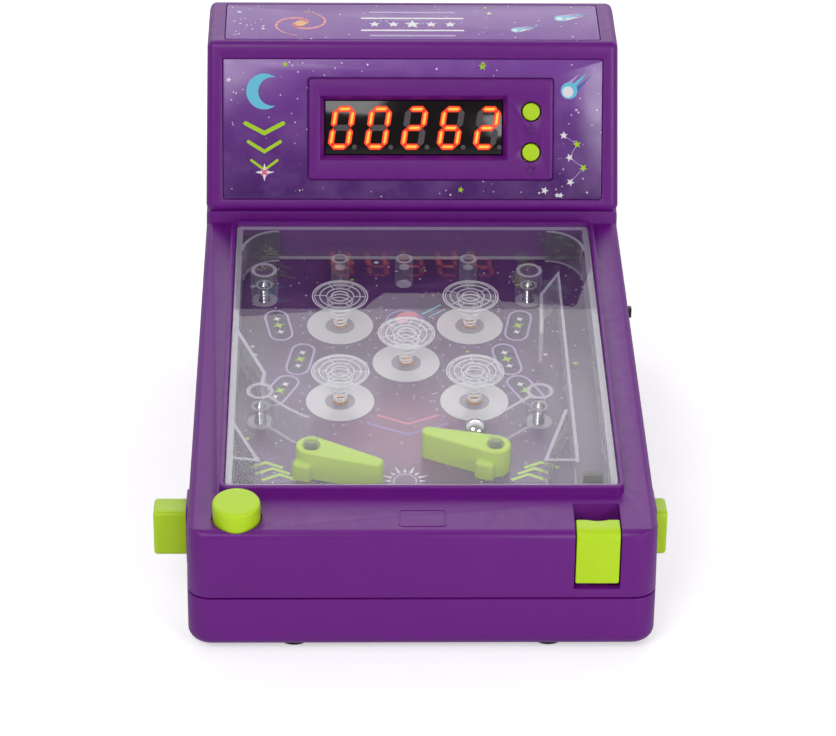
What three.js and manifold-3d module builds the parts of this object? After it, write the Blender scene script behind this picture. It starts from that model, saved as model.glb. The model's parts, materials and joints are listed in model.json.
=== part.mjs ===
// Handheld pinball game: purple two-part housing, clear cover over a sloping playfield,
// two flippers worked by side buttons, five spring bumpers, a pull launcher and a score head.
// Millimetres, +Z up, player's side at -Y. The origin is the middle of the footprint, on the table.
import * as THREE from "three";
import { mergeVertices } from "three/addons/utils/BufferGeometryUtils.js";
import Module from "manifold-3d";

const wasm = await Module();
wasm.setup();

const degrees = THREE.MathUtils.degToRad;

// General fits
const gap = 0.3;
const overrun = 1;
const mergeDistance = 1e-4;

// Housing
const bodyWidth = 145;
const bodyLength = 224;
const wall = 2.2;
const cornerRadius = 7.5;
const edgeRadius = 2.5;
const shoulderRadius = 3;
const trayEdgeRadius = 4;
const partingHeight = 19.5;
const partingGap = 0.6;
const lipHeight = 1.6;
const lipThickness = 1.1;
const sideDraftShare = 0.02;

// Deck: the sloping top face of the housing
const deckHeight = 42.4;
const deckSlope = degrees(8.3);
const headDepth = 47.7;
const deckLength = bodyLength - headDepth;

// Places up the deck, as surveyed on a deck of the stated length. Another deck keeps their part of it.
const surveyed = {
  deck: 176.3,
  coverRear: 170.8,
  guideUpper: 108.5,
  guideWaist: 82.3,
  guideLower: 56.3,
  guideBend: 62.1,
  leftEnd: 57.7,
  rightEnd: 58.5,
  gate: 128.5,
  gateFoot: 105.3,
  bossFront: 72.3,
  bossRear: 143.2,
  pegs: 150.4,
  laneTop: 141.4,
  bumpers: 106,
  leftFlipper: 46,
  rightFlipper: 46.6,
  ball: 61.9,
  slideSwitch: 130.4,
};

// Distances in from the front or rear wall
const setback = {
  sideButton: 26.8,
  returnSpring: 24.6,
  frontPost: 15.4,
  rearPost: 5.8,
  foot: 9,
  battery: 82,
  speaker: 30,
  mainBoard: 28,
};
const rim = { thickness: 1.5, height: 3.5, radius: 3 };

function upDeck(v) {
  return (v * deckLength) / surveyed.deck;
}

// Clear cover. Places on the deck are x across, v up the slope from the front wall, h off the deck.
const cover = {
  width: 122,
  front: 20.6,
  rear: upDeck(surveyed.coverRear),
  top: 3.6,
  plate: 1.6,
  wall: 2.2,
  radius: 1.5,
  rib: 1.3,
  guide: {
    upper: upDeck(surveyed.guideUpper),
    waistX: -49.8,
    waist: upDeck(surveyed.guideWaist),
    lower: upDeck(surveyed.guideLower),
    outlane: -51.1,
    bendX: -41.3,
    bend: upDeck(surveyed.guideBend),
    leftEndX: -35.5,
    leftEnd: upDeck(surveyed.leftEnd),
    rightEndX: 24,
    rightEnd: upDeck(surveyed.rightEnd),
    spurX: 47.2,
    spurFoot: 39.2,
    gateX: 42.7,
    gate: upDeck(surveyed.gate),
    gateFootX: 41.5,
    gateFoot: upDeck(surveyed.gateFoot),
  },
};
const boss = {
  radius: 4.5,
  bore: 2,
  left: -51.1,
  right: 39.2,
  front: upDeck(surveyed.bossFront),
  rear: upDeck(surveyed.bossRear),
};
const cornerGuide = { radius: 12.5, below: 15.5 };
const peg = { radius: 3, v: upDeck(surveyed.pegs), spacing: 22, lift: 2 };
const lane = { divider: 49.1, top: upDeck(surveyed.laneTop), foot: 35.1 };

// Playfield
const playfieldDepth = 10.5;
const playfieldPlate = 2.5;
const coverScrew = { radius: 1.5, head: 2.9, headHeight: 1.8, length: 11 };

// Bumpers: a quincunx of five
const bumper = {
  x: -3.25,
  v: upDeck(surveyed.bumpers),
  spacing: 22,
  capRadius: 9.5,
  capPlate: 1,
  ridge: 0.6,
  ridgeDrop: 0.7,
  middleRing: 6.8,
  innerRing: 4.5,
  hub: 2.95,
  stem: 1.1,
  stemLength: 8.2,
  springTop: 4.2,
  springFoot: 1.9,
  wire: 0.5,
  turns: 5,
  pinRadius: 0.7,
  pinFlange: 2.5,
  pinPlate: 0.5,
  pinHead: 1.3,
  pinTail: 2,
};

// Flippers and their cranks
const flipper = {
  leftX: -34.4,
  leftV: upDeck(surveyed.leftFlipper),
  rightX: 23.9,
  rightV: upDeck(surveyed.rightFlipper),
  length: 22,
  rootRadius: 4.9,
  tipRadius: 2.4,
  top: -0.2,
  edge: 0.5,
  bore: 2.9,
  boreDepth: 7,
  pin: 2.2,
  shaft: 2.4,
  drive: 3.4,
  heelWidth: 4.6,
  heelReach: 6.8,
  heelHeight: 5,
  restAngle: degrees(-22.8),
  raisedAngle: degrees(19),
};
const crank = { hub: 4.3, tip: 2.5, plate: 2.5, radius: 9.07, pin: 1.4, pinLength: 7 };

// Side buttons that work the flippers
const sideButton = {
  reach: 83.4,
  travel: 6.5,
  y: -bodyLength / 2 + setback.sideButton,
  z: 29.95,
  depth: 10.4,
  height: 15.3,
  radius: 1.6,
  edge: 1,
  collar: 2.5,
  collarHeight: 0.8,
  tailLength: 4,
  tailHeight: 8.7,
  flange: 1.6,
  flangeLip: 2,
  armV: 25,
  armWidth: 8,
  armDrop: 20,
  armPlate: 2.5,
  padMargin: 2.4,
};
const returnSpring = {
  radius: 2.2,
  wire: 0.6,
  turns: 6,
  y: -bodyLength / 2 + setback.returnSpring,
  z: 24.3,
  post: 46,
  postSize: 5,
  postRise: 3,
};

// Launcher: key, rod under the playfield, plunger in the lane
const launcher = {
  x: 54.2,
  wellLeft: 46.5,
  wellRight: 60.7,
  wellRear: 15.2,
  wellFloor: 22.8,
  wellWall: 1.6,
  keySide: 0.4,
  keyRear: 7.5,
  keyFoot: 24.6,
  keyProud: 0.3,
  keyEdge: 0.5,
  scoopWidth: 9.5,
  scoopDepth: 1.5,
  rodDrop: 15.9,
  rod: 1.7,
  rodEnd: 53,
  travel: 10,
  sleeve: 2.9,
  sleeveFront: 31,
  sleeveRear: 35.9,
  hammer: 2.5,
  hammerWidth: 6,
  hammerTop: -3.2,
  bracket: 3,
  bracketWidth: 8,
  springRadius: 2.3,
  wire: 0.5,
  turns: 5,
};

// Round button on the shoulder
const roundButton = {
  x: -57,
  v: 8.6,
  radius: 7.35,
  top: 6,
  edge: 0.8,
  bar: 2,
  barLength: 18.4,
  barWidth: 5.6,
  springRadius: 3.4,
  wire: 0.5,
  turns: 5,
  springLength: 9,
  post: 4.6,
};

// Score head
const apronHeight = 4.5;
const faceOverhang = 2.4;
const faceLean = degrees(18.7);
const faceLength = 59.5;
const headEdge = { foot: 2.6, top: 2.8, rear: 5 };
const sticker = { recess: 0.7, sheet: 0.4, radius: 1 };
const faceSticker = { width: 132, low: 5, high: 54 };
const topSticker = { width: 130.4, front: 2, rear: 27.5 };
const bezel = {
  left: -36.2,
  right: 48.7,
  low: 12,
  high: 47.2,
  proud: 1.6,
  radius: 1,
  lap: 2.2,
  depth: 4,
  mitre: 1.6,
  mitreDepth: 2.6,
};
const display = { left: -30.7, right: 31.4, low: 20.4, high: 39.6, sink: 1.6, depth: 8 };
const displayBoard = { margin: 7.5, low: 8.5, high: 50, plate: 1.6, post: 2.4, postInset: 3.4 };
const headButton = {
  x: 41,
  power: 35.8,
  reset: 21.7,
  radius: 3,
  annulus: 0.5,
  proud: 2.6,
  flange: 0.9,
  flangeLip: 1,
  travel: 1,
  switchSize: 6,
};

// Slide switch on the right wall
const slideSwitch = {
  v: upDeck(surveyed.slideSwitch),
  drop: 5.92,
  knobDepth: 2.3,
  knobHeight: 3.6,
  proud: 1.5,
  travel: 2.5,
  bodyDepth: 13,
  bodyHeight: 5.4,
  bodyThickness: 5.6,
  floor: 1.6,
};

// Ball, shown at rest behind the raised flipper
const ball = { radius: 4, x: 18.1, v: upDeck(surveyed.ball) };

// Base tray and what it holds
const foot = { radius: 5, height: 2, x: 39.6, y: bodyLength / 2 - setback.foot, recess: 0.8 };
const cell = { radius: 7.25, body: 49.2, nub: 2.7, length: 50.5, pitch: 15, count: 3 };
const battery = {
  y: bodyLength / 2 - setback.battery,
  wall: 1.6,
  endRoom: 3.6,
  contact: 0.5,
  contactBump: 2,
  contactHeight: 11,
  doorPlate: 2,
  tab: 2,
  tabWidth: 10,
  tongue: 8,
  screw: 1.5,
  screwHead: 2.8,
  screwLength: 6,
  boss: 4,
};
const speaker = {
  x: -38,
  y: bodyLength / 2 - setback.speaker,
  radius: 18,
  depth: 7,
  magnet: 9,
  ring: 1.4,
  ringHeight: 4,
  slots: 5,
  slot: 1.6,
  slotPitch: 4.6,
};
const mainBoard = {
  x: 24,
  y: bodyLength / 2 - setback.mainBoard,
  width: 62,
  depth: 32,
  plate: 1.6,
  lift: 6,
  post: 2.4,
  inset: 4,
};
const screwPost = {
  x: 66.2,
  frontY: -bodyLength / 2 + setback.frontPost,
  rearY: bodyLength / 2 - setback.rearPost,
  radius: 3,
  upperRadius: 4,
  split: 24,
  top: 56,
  well: 2.2,
};

// Worked-out places
const frontY = -bodyLength / 2;
const rearY = bodyLength / 2;
const trayTop = partingHeight - partingGap / 2;
const housingFoot = partingHeight + partingGap / 2;
const deckRear = new THREE.Vector2(deckLength, 0)
  .rotateAround(new THREE.Vector2(), deckSlope)
  .add(new THREE.Vector2(frontY, deckHeight));
const faceFoot = deckRear.clone().add(new THREE.Vector2(-faceOverhang, apronHeight));
const faceTop = new THREE.Vector2(Math.sin(faceLean), Math.cos(faceLean))
  .multiplyScalar(faceLength)
  .add(faceFoot);
const headRearHeight = faceTop.y + (rearY - faceTop.x) * Math.tan(deckSlope);
const playfieldTop = -playfieldDepth;
const playfieldBottom = playfieldTop - playfieldPlate;
const coverUnder = cover.top - cover.plate;
const ribFoot = playfieldTop + gap;
const opening = {
  width: cover.width + 2 * gap,
  front: cover.front - gap,
  rear: cover.rear + gap,
};
const crankTop = playfieldBottom - gap;
const crankSwing = (flipper.raisedAngle - flipper.restAngle) / 2;
const bumperPlaces = [
  [-1, 1],
  [1, 1],
  [0, 0],
  [-1, -1],
  [1, -1],
].map(([across, along]) => [
  bumper.x + across * bumper.spacing,
  bumper.v + upDeck(along * bumper.spacing),
]);
const flipperPlaces = {
  left: [flipper.leftX, flipper.leftV],
  right: [flipper.rightX, flipper.rightV],
};
const bossPlaces = [boss.left, boss.right].flatMap((x) => [
  [x, boss.front],
  [x, boss.rear],
]);
const keyHalfWidth = (launcher.wellRight - launcher.wellLeft) / 2 - launcher.keySide;
const keyX = (launcher.wellRight + launcher.wellLeft) / 2;
const doorTop = foot.height + battery.doorPlate;
const cellZ = doorTop + gap + cell.radius;
const bayLength = cell.length + 2 * battery.endRoom;
const bayWidth = cell.pitch * cell.count + 2 * gap;
const bayRoof = cellZ + cell.radius + gap;
const trayFloor = foot.height + wall;

const switchY = frontY + slideSwitch.v * Math.cos(deckSlope);
const switchZ = deckHeight + slideSwitch.v * Math.sin(deckSlope) - slideSwitch.drop;

// Frames: deck, face of the head, top of the head
function tilted(y, z, angle) {
  return new THREE.Matrix4().makeRotationX(angle).setPosition(0, y, z);
}
const deckFrame = tilted(frontY, deckHeight, deckSlope);
const faceFrame = tilted(faceFoot.x, faceFoot.y, Math.PI / 2 - faceLean);
const topFrame = tilted(faceTop.x, faceTop.y, deckSlope);
const acrossFrame = new THREE.Matrix4().makeBasis(
  new THREE.Vector3(0, 1, 0),
  new THREE.Vector3(0, 0, 1),
  new THREE.Vector3(1, 0, 0),
);

// Solids
function toSolid(geometry) {
  const bare = geometry.clone();
  bare.deleteAttribute("normal");
  bare.deleteAttribute("uv");
  const merged = mergeVertices(bare, mergeDistance);
  return new wasm.Manifold(
    new wasm.Mesh({
      numProp: 3,
      vertProperties: merged.attributes.position.array,
      triVerts: new Uint32Array(merged.index.array),
    }),
  );
}

function toGeometry(made) {
  const { vertProperties, triVerts } = made.getMesh();
  const geometry = new THREE.BufferGeometry();
  geometry.setAttribute("position", new THREE.BufferAttribute(vertProperties, 3));
  geometry.setIndex(new THREE.BufferAttribute(triVerts, 1));
  return geometry;
}

function join(...parts) {
  return toGeometry(parts.map(toSolid).reduce((all, next) => all.add(next)));
}

function cut(base, ...tools) {
  return toGeometry(tools.map(toSolid).reduce((rest, tool) => rest.subtract(tool), toSolid(base)));
}

function common(first, second) {
  return toGeometry(toSolid(first).intersect(toSolid(second)));
}

function inFrame(frame, ...parts) {
  return parts.map((part) => part.clone().applyMatrix4(frame));
}

// Outlines and forms
// A closed outline with its corners rounded. Each corner is [x, y, radius].
function outline(corners) {
  const shape = new THREE.Shape();
  corners.forEach(([x, y, radius = 0], i) => {
    const here = new THREE.Vector2(x, y);
    const before = new THREE.Vector2(...corners.at(i - 1)).sub(here).normalize();
    const after = new THREE.Vector2(...corners[(i + 1) % corners.length]).sub(here).normalize();
    if (radius === 0) {
      if (i === 0) shape.moveTo(x, y);
      else shape.lineTo(x, y);
      return;
    }
    const half = Math.acos(THREE.MathUtils.clamp(before.dot(after), -1, 1)) / 2;
    const middle = before.clone().add(after).normalize();
    const centre = middle.multiplyScalar(radius / Math.sin(half)).add(here);
    const reach = radius / Math.tan(half);
    const start = before.clone().multiplyScalar(reach).add(here).sub(centre);
    const end = after.clone().multiplyScalar(reach).add(here).sub(centre);
    shape.absarc(centre.x, centre.y, radius, start.angle(), end.angle(), before.cross(after) > 0);
  });
  shape.closePath();
  return shape;
}

// The same corners moved inwards by a distance, on an outline that runs anticlockwise.
function insetCorners(corners, distance) {
  return corners.map(([x, y, radius = 0], i) => {
    const here = new THREE.Vector2(x, y);
    const incoming = here.clone().sub(new THREE.Vector2(...corners.at(i - 1))).normalize();
    const outgoing = new THREE.Vector2(...corners[(i + 1) % corners.length]).sub(here).normalize();
    const scale = distance / incoming.cross(outgoing);
    const move = outgoing.sub(incoming).multiplyScalar(scale);
    return [x + move.x, y + move.y, Math.max(radius - distance, 0)];
  });
}

// A strip of even thickness along a line of points, mitred at its bends.
function strip(points, thickness) {
  const line = points.map((point) => new THREE.Vector2(...point));
  const runs = line.slice(1).map((next, i) => next.clone().sub(line[i]).normalize());
  const offsets = line.map((here, i) => {
    const before = runs[Math.max(i - 1, 0)];
    const along = before.clone().add(runs[Math.min(i, runs.length - 1)]).normalize();
    const mitre = before.dot(along);
    return new THREE.Vector2(-along.y, along.x).multiplyScalar(thickness / 2 / mitre);
  });
  const left = line.map((here, i) => here.clone().add(offsets[i]));
  const right = line.map((here, i) => here.clone().sub(offsets[i]));
  return new THREE.Shape([...right, ...left.reverse()]);
}

function panel(left, right, low, high, radius = 0) {
  return outline([
    [left, low, radius],
    [right, low, radius],
    [right, high, radius],
    [left, high, radius],
  ]);
}

function circle(radius, x = 0, y = 0) {
  return new THREE.Shape().absarc(x, y, radius, 0, 2 * Math.PI, false);
}

// Two round ends joined by their tangents, from the origin along +X.
function link(length, rootRadius, tipRadius) {
  const tangent = Math.acos((rootRadius - tipRadius) / length);
  return new THREE.Shape()
    .absarc(0, 0, rootRadius, tangent, 2 * Math.PI - tangent, false)
    .absarc(length, 0, tipRadius, -tangent, tangent, false);
}

function prism(shape, low, high, steps = 3) {
  const options = { depth: high - low, bevelEnabled: false, curveSegments: steps };
  return new THREE.ExtrudeGeometry(shape, options).translate(0, 0, low);
}

// A prism whose upper and lower edges are rounded inwards.
function softPrism(shape, low, high, edge, steps = 3, edgeSteps = 2) {
  const options = {
    depth: high - low - 2 * edge,
    bevelThickness: edge,
    bevelSize: edge,
    bevelOffset: -edge,
    bevelSegments: edgeSteps,
    curveSegments: steps,
  };
  return new THREE.ExtrudeGeometry(shape, options).translate(0, 0, low + edge);
}

function box(left, right, front, rear, low, high) {
  return new THREE.BoxGeometry(right - left, rear - front, high - low).translate(
    (left + right) / 2,
    (front + rear) / 2,
    (low + high) / 2,
  );
}

function rod(radius, low, high, x = 0, y = 0, sides = 16) {
  return new THREE.CylinderGeometry(radius, radius, high - low, sides)
    .rotateX(Math.PI / 2)
    .translate(x, y, (low + high) / 2);
}

// A revolved form about Z from a profile of [radius, height] points, foot first.
function turned(profile, sides = 20) {
  const points = profile.map(([radius, height]) => new THREE.Vector2(radius, height));
  return new THREE.LatheGeometry(points, sides).rotateX(Math.PI / 2);
}

class Coil extends THREE.Curve {
  constructor(footRadius, topRadius, height, turns) {
    super();
    Object.assign(this, { footRadius, topRadius, height, turns });
  }

  getPoint(t, target = new THREE.Vector3()) {
    const angle = t * this.turns * 2 * Math.PI;
    const radius = THREE.MathUtils.lerp(this.footRadius, this.topRadius, t);
    return target.set(radius * Math.cos(angle), radius * Math.sin(angle), t * this.height);
  }
}

// A coil spring of round wire that fills the height from its foot up.
function spring({ footRadius, topRadius, height, turns, wire }) {
  const path = new Coil(footRadius, topRadius, height - wire, turns);
  const stepsPerTurn = 6;
  const options = {
    extrudePath: path,
    steps: Math.round(turns * stepsPerTurn),
    bevelEnabled: false,
    curveSegments: 2,
  };
  return new THREE.ExtrudeGeometry(circle(wire / 2), options).translate(0, 0, wire / 2);
}

function alongX(geometry, x, y, z) {
  return geometry.rotateY(Math.PI / 2).translate(x, y, z);
}

function alongV(geometry, x, v, h) {
  return geometry.rotateX(-Math.PI / 2).translate(x, v, h);
}

// The side walls lean in a little towards the top, as the mould needs.
function drafted(geometry) {
  const positions = geometry.attributes.position;
  for (let i = 0; i < positions.count; i += 1) {
    const rise = (positions.getZ(i) - partingHeight) / (headRearHeight - partingHeight);
    positions.setX(i, positions.getX(i) * (1 - sideDraftShare * Math.max(rise, 0)));
  }
  return geometry;
}

function halfWidthAt(z) {
  const rise = (z - partingHeight) / (headRearHeight - partingHeight);
  return (bodyWidth / 2) * (1 - sideDraftShare * rise);
}

// Finishes
function finish(color, roughness, metalness = 0, opacity = 1) {
  return () =>
    new THREE.MeshStandardMaterial({
      color,
      roughness,
      metalness,
      opacity,
      transparent: opacity < 1,
    });
}
const purple = finish("#66386f", 0.45);
const brightPurple = finish("#742380", 0.4);
const lime = finish("#c2e21c", 0.4);
const clear = finish("#dcdce2", 0.1, 0, 0.3);
const printed = finish("#5f3a72", 0.3);
const steel = finish("#c9c9cc", 0.3, 1);
const brass = finish("#c08a4a", 0.35, 1);
const darkPlastic = finish("#1c1a20", 0.5);
const boardGreen = finish("#2f5a3c", 0.6);
const rubber = finish("#2a2530", 0.8);
const cellGrey = finish("#8d9098", 0.4, 0.3);

const game = new THREE.Group();
const deckGroup = new THREE.Group();
deckGroup.applyMatrix4(deckFrame);
const faceGroup = new THREE.Group();
faceGroup.applyMatrix4(faceFrame);
const topGroup = new THREE.Group();
topGroup.applyMatrix4(topFrame);
game.add(deckGroup, faceGroup, topGroup);

function add(group, name, geometry, material) {
  const mesh = new THREE.Mesh(geometry, material());
  mesh.name = name;
  group.add(mesh);
  return mesh;
}

// Upper housing
function sideCorners() {
  return [
    [frontY, partingHeight - edgeRadius - overrun],
    [rearY, partingHeight - edgeRadius - overrun],
    [rearY, headRearHeight, headEdge.rear],
    [faceTop.x, faceTop.y, headEdge.top],
    [faceFoot.x, faceFoot.y, headEdge.foot],
    [deckRear.x, faceFoot.y],
    [deckRear.x, deckRear.y],
    [frontY, deckHeight, shoulderRadius],
  ];
}

function housingBlock(inset) {
  const width = bodyWidth - 2 * inset;
  const side = outline(insetCorners(sideCorners(), inset));
  const form = inset > 0
    ? prism(side, -width / 2, width / 2, 2)
    : softPrism(side, -width / 2, width / 2, edgeRadius, 2, 2);
  const plan = panel(-width / 2, width / 2, frontY + inset, rearY - inset, cornerRadius - inset);
  const foot = inset > 0 ? housingFoot - overrun : housingFoot;
  const column = prism(plan, foot, headRearHeight + overrun, 2);
  return drafted(common(form.applyMatrix4(acrossFrame), column));
}

function launcherWell(outer) {
  const { wellLeft, wellRight, wellFloor, wellWall } = launcher;
  const rear = frontY + launcher.wellRear * Math.cos(deckSlope);
  const shell = box(
    wellLeft - wellWall,
    wellRight + wellWall,
    frontY,
    rear + wellWall,
    wellFloor - wellWall,
    deckHeight + launcher.wellRear,
  );
  const pocket = box(
    wellLeft,
    wellRight,
    frontY - overrun,
    rear,
    wellFloor,
    deckHeight + launcher.wellRear,
  );
  const rodHole = alongV(
    rod(launcher.rod + gap, launcher.keyRear, launcher.wellRear + 2 * wellWall + overrun),
    launcher.x,
    0,
    -launcher.rodDrop,
  ).applyMatrix4(deckFrame);
  return { shell: common(outer, shell), cuts: [pocket, rodHole] };
}

function upperHousing() {
  const outer = housingBlock(0);
  const { front, rear, width } = opening;
  const rimOuter = panel(
    -width / 2 - rim.thickness,
    width / 2 + rim.thickness,
    front - rim.thickness,
    rear + rim.thickness,
    rim.radius,
  );
  const rimWall = prism(rimOuter, playfieldTop + gap, rim.height);
  const window = prism(
    panel(-width / 2, width / 2, front, rear, cover.radius + gap),
    playfieldTop - overrun,
    rim.height + overrun,
  );
  const well = launcherWell(outer);
  const posts = [-1, 1].flatMap((side) => [
    rod(
      screwPost.radius,
      screwPost.split,
      deckHeight,
      side * screwPost.x,
      screwPost.frontY,
      10,
    ),
    rod(
      screwPost.upperRadius,
      screwPost.split,
      screwPost.top,
      side * screwPost.x,
      screwPost.rearY,
      10,
    ),
  ]);
  const collars = [-1, 1].map((side) => buttonCollar(side));
  const boardPosts = inFrame(faceFrame, ...displayPosts());
  const shell = join(
    cut(outer, housingBlock(wall)),
    ...inFrame(deckFrame, rimWall),
    well.shell,
    ...posts.map((post) => common(outer, post)),
    ...collars,
    ...boardPosts,
  );
  return cut(
    shell,
    ...inFrame(deckFrame, window, roundButtonHole()),
    ...well.cuts,
    ...[-1, 1].map((side) => buttonHole(side)),
    ...inFrame(faceFrame, faceRecess(), bezelHole()),
    ...inFrame(topFrame, topRecess()),
    switchSlot(),
  );
}

function roundButtonHole() {
  const { radius, x, v, top, barLength } = roundButton;
  return rod(radius + gap, -barLength, top, x, v, 24);
}

function buttonOutline(margin, radius) {
  const { y, z, depth, height } = sideButton;
  return panel(
    y - depth / 2 - margin,
    y + depth / 2 + margin,
    z - height / 2 - margin,
    z + height / 2 + margin,
    radius,
  );
}

function buttonCollar(side) {
  const face = halfWidthAt(sideButton.z);
  const { collar, collarHeight, radius } = sideButton;
  const form = prism(buttonOutline(collar, radius), face - wall / 2, face + collarHeight);
  const right = form.applyMatrix4(acrossFrame);
  return side > 0 ? right : mirrored(right);
}

function buttonHole(side) {
  const face = halfWidthAt(sideButton.z);
  const form = prism(
    buttonOutline(gap, sideButton.radius),
    face - 2 * wall,
    face + sideButton.collarHeight + overrun,
  );
  const right = form.applyMatrix4(acrossFrame);
  return side > 0 ? right : mirrored(right);
}

// The mirror image across the middle plane, turned right side out again.
function mirrored(geometry) {
  const image = toGeometry(toSolid(geometry)).scale(-1, 1, 1);
  const turns = image.index.array;
  for (let i = 0; i < turns.length; i += 3) [turns[i], turns[i + 1]] = [turns[i + 1], turns[i]];
  return image;
}

function faceRecess() {
  const { width, low, high } = faceSticker;
  const edge = panel(-width / 2, width / 2, low, high, sticker.radius);
  return prism(edge, -sticker.recess, overrun, 1);
}

function bezelHole() {
  const { left, right, low, high, lap, radius } = bezel;
  const margin = lap - gap;
  const edge = panel(left + margin, right - margin, low + margin, high - margin, radius);
  return prism(edge, -2 * wall, overrun, 1);
}

function topRecess() {
  const { width, front, rear } = topSticker;
  const edge = panel(-width / 2, width / 2, front, rear, sticker.radius);
  return prism(edge, -sticker.recess, overrun, 1);
}

function displayPosts() {
  const { low, high, post, postInset } = displayBoard;
  const foot = -display.sink - display.depth - gap;
  return boardEdges().flatMap((x) => [
    rod(post, foot, -wall / 2, x, low + postInset, 10),
    rod(post, foot, -wall / 2, x, high - postInset, 10),
  ]);
}

function boardEdges() {
  const { margin, postInset } = displayBoard;
  return [bezel.left - margin + postInset, bezel.right + margin - postInset];
}

function switchSlot() {
  const { knobDepth, knobHeight, travel } = slideSwitch;
  const y = switchY;
  const z = switchZ;
  return box(
    halfWidthAt(z) - 2 * wall,
    halfWidthAt(z) + wall,
    y - knobDepth / 2 - gap,
    y + knobDepth / 2 + travel + gap,
    z - knobHeight / 2 - gap,
    z + knobHeight / 2 + gap,
  );
}

// Base tray
function trayBlock(inset) {
  const half = bodyWidth / 2 - inset;
  const radius = cornerRadius - inset;
  const plan = panel(-half, half, frontY + inset, rearY - inset, radius);
  const edge = trayEdgeRadius - inset;
  const low = foot.height + inset;
  return softPrism(plan, low, partingHeight + trayEdgeRadius + overrun, edge, 2, 2);
}

function trayLip() {
  const outerHalf = bodyWidth / 2 - wall - gap;
  const innerHalf = outerHalf - lipThickness;
  const inset = wall + gap;
  const ring = panel(-outerHalf, outerHalf, frontY + inset, rearY - inset, cornerRadius - inset);
  ring.holes.push(
    panel(
      -innerHalf,
      innerHalf,
      frontY + inset + lipThickness,
      rearY - inset - lipThickness,
      cornerRadius - inset - lipThickness,
    ),
  );
  return prism(ring, trayTop - wall, trayTop + lipHeight, 2);
}

function batteryBay() {
  const { y, wall: side } = battery;
  const low = foot.height;
  const shell = box(
    -bayLength / 2 - side,
    bayLength / 2 + side,
    y - bayWidth / 2 - side,
    y + bayWidth / 2 + side,
    low,
    bayRoof + side,
  );
  const room = box(
    -bayLength / 2,
    bayLength / 2,
    y - bayWidth / 2,
    y + bayWidth / 2,
    low - overrun,
    bayRoof,
  );
  return { shell, room };
}

function tongueCut() {
  const { y, tongue, tabWidth, doorPlate } = battery;
  const edge = y + bayWidth / 2 - overrun;
  const half = tabWidth / 2 + gap;
  const top = foot.height + doorPlate / 2 + gap;
  return box(-half, half, edge, y + bayWidth / 2 + tongue + gap, foot.height - overrun, top);
}

function tabCuts() {
  const { y, tab, wall: side } = battery;
  const half = bayLength / 2 - gap;
  const front = y - bayWidth / 2;
  return [-1, 1].map((end) =>
    box(
      end * (half / 2) - tab - gap,
      end * (half / 2) + tab + gap,
      front - side - overrun,
      front + overrun,
      trayFloor,
      trayFloor + 2 * gap + side,
    ),
  );
}

function doorScrewY() {
  return battery.y + bayWidth / 2 + battery.tongue / 2 + battery.wall / 2;
}

function speakerSlots() {
  const { x, y, radius, slots, slot, slotPitch } = speaker;
  return Array.from({ length: slots }, (unused, i) => {
    const offset = (i - (slots - 1) / 2) * slotPitch;
    const half = Math.sqrt(radius ** 2 - offset ** 2) - slotPitch;
    return box(
      x - half,
      x + half,
      y + offset - slot / 2,
      y + offset + slot / 2,
      foot.height - overrun,
      trayFloor + overrun,
    );
  });
}

function speakerRing() {
  const { x, y, radius, ring, ringHeight } = speaker;
  return cut(
    rod(radius + gap + ring, trayFloor - wall / 2, trayFloor + ringHeight, x, y, 18),
    rod(radius + gap, trayFloor - wall, trayFloor + ringHeight + overrun, x, y, 18),
  );
}

function mainBoardPosts() {
  const { x, y, width, depth, lift, post, inset } = mainBoard;
  return [-1, 1].flatMap((side) =>
    [-1, 1].map((end) =>
      rod(
        post,
        trayFloor - wall / 2,
        trayFloor + lift,
        x + side * (width / 2 - inset),
        y + end * (depth / 2 - inset),
        10,
      ),
    ),
  );
}

function springPost(side) {
  const { post, postSize, postRise, y, z } = returnSpring;
  return box(
    side * post - postSize / 2,
    side * post + postSize / 2,
    y - postSize / 2,
    y + postSize / 2,
    trayFloor - wall / 2,
    z + postRise,
  );
}

function buttonPost() {
  const { x, v, post, springLength, bar } = roundButton;
  const top = -wall - 3 * gap - bar - springLength;
  const low = -(deckHeight - trayFloor + wall / 2) / Math.cos(deckSlope);
  return rod(post, low, top, x, v, 12);
}

function baseTray() {
  const shell = cut(trayBlock(0), trayBlock(wall));
  const trimmed = cut(
    shell,
    box(-bodyWidth, bodyWidth, -bodyLength, bodyLength, trayTop, bodyLength),
  );
  const bay = batteryBay();
  const corners = [-1, 1].flatMap((side) => [
    [side * screwPost.x, screwPost.frontY],
    [side * screwPost.x, screwPost.rearY],
  ]);
  const posts = corners.map(([x, y]) =>
    rod(screwPost.radius, trayFloor - wall / 2, screwPost.split - gap, x, y, 10),
  );
  const wells = corners.map(([x, y]) =>
    rod(screwPost.well, foot.height - overrun, trayTop - wall, x, y, 10),
  );
  const feet = footPlaces().map(([x, y]) =>
    rod(foot.radius + gap, foot.height - overrun, foot.height + foot.recess, x, y, 16),
  );
  const bossTop = trayFloor + battery.screwLength;
  const doorBoss = rod(battery.boss, trayFloor - wall / 2, bossTop, 0, doorScrewY(), 12);
  const doorHole = rod(battery.screw + gap, foot.height, bossTop + overrun, 0, doorScrewY(), 12);
  const joined = join(
    trimmed,
    trayLip(),
    bay.shell,
    ...posts,
    ...mainBoardPosts(),
    speakerRing(),
    springPost(-1),
    springPost(1),
    doorBoss,
    ...inFrame(deckFrame, buttonPost()),
  );
  const bayCuts = [bay.room, tongueCut(), doorHole, ...tabCuts()];
  return cut(joined, ...bayCuts, ...wells, ...feet, ...speakerSlots());
}

function footPlaces() {
  return [-1, 1].flatMap((side) => [
    [side * foot.x, -foot.y],
    [side * foot.x, foot.y],
  ]);
}

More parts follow.
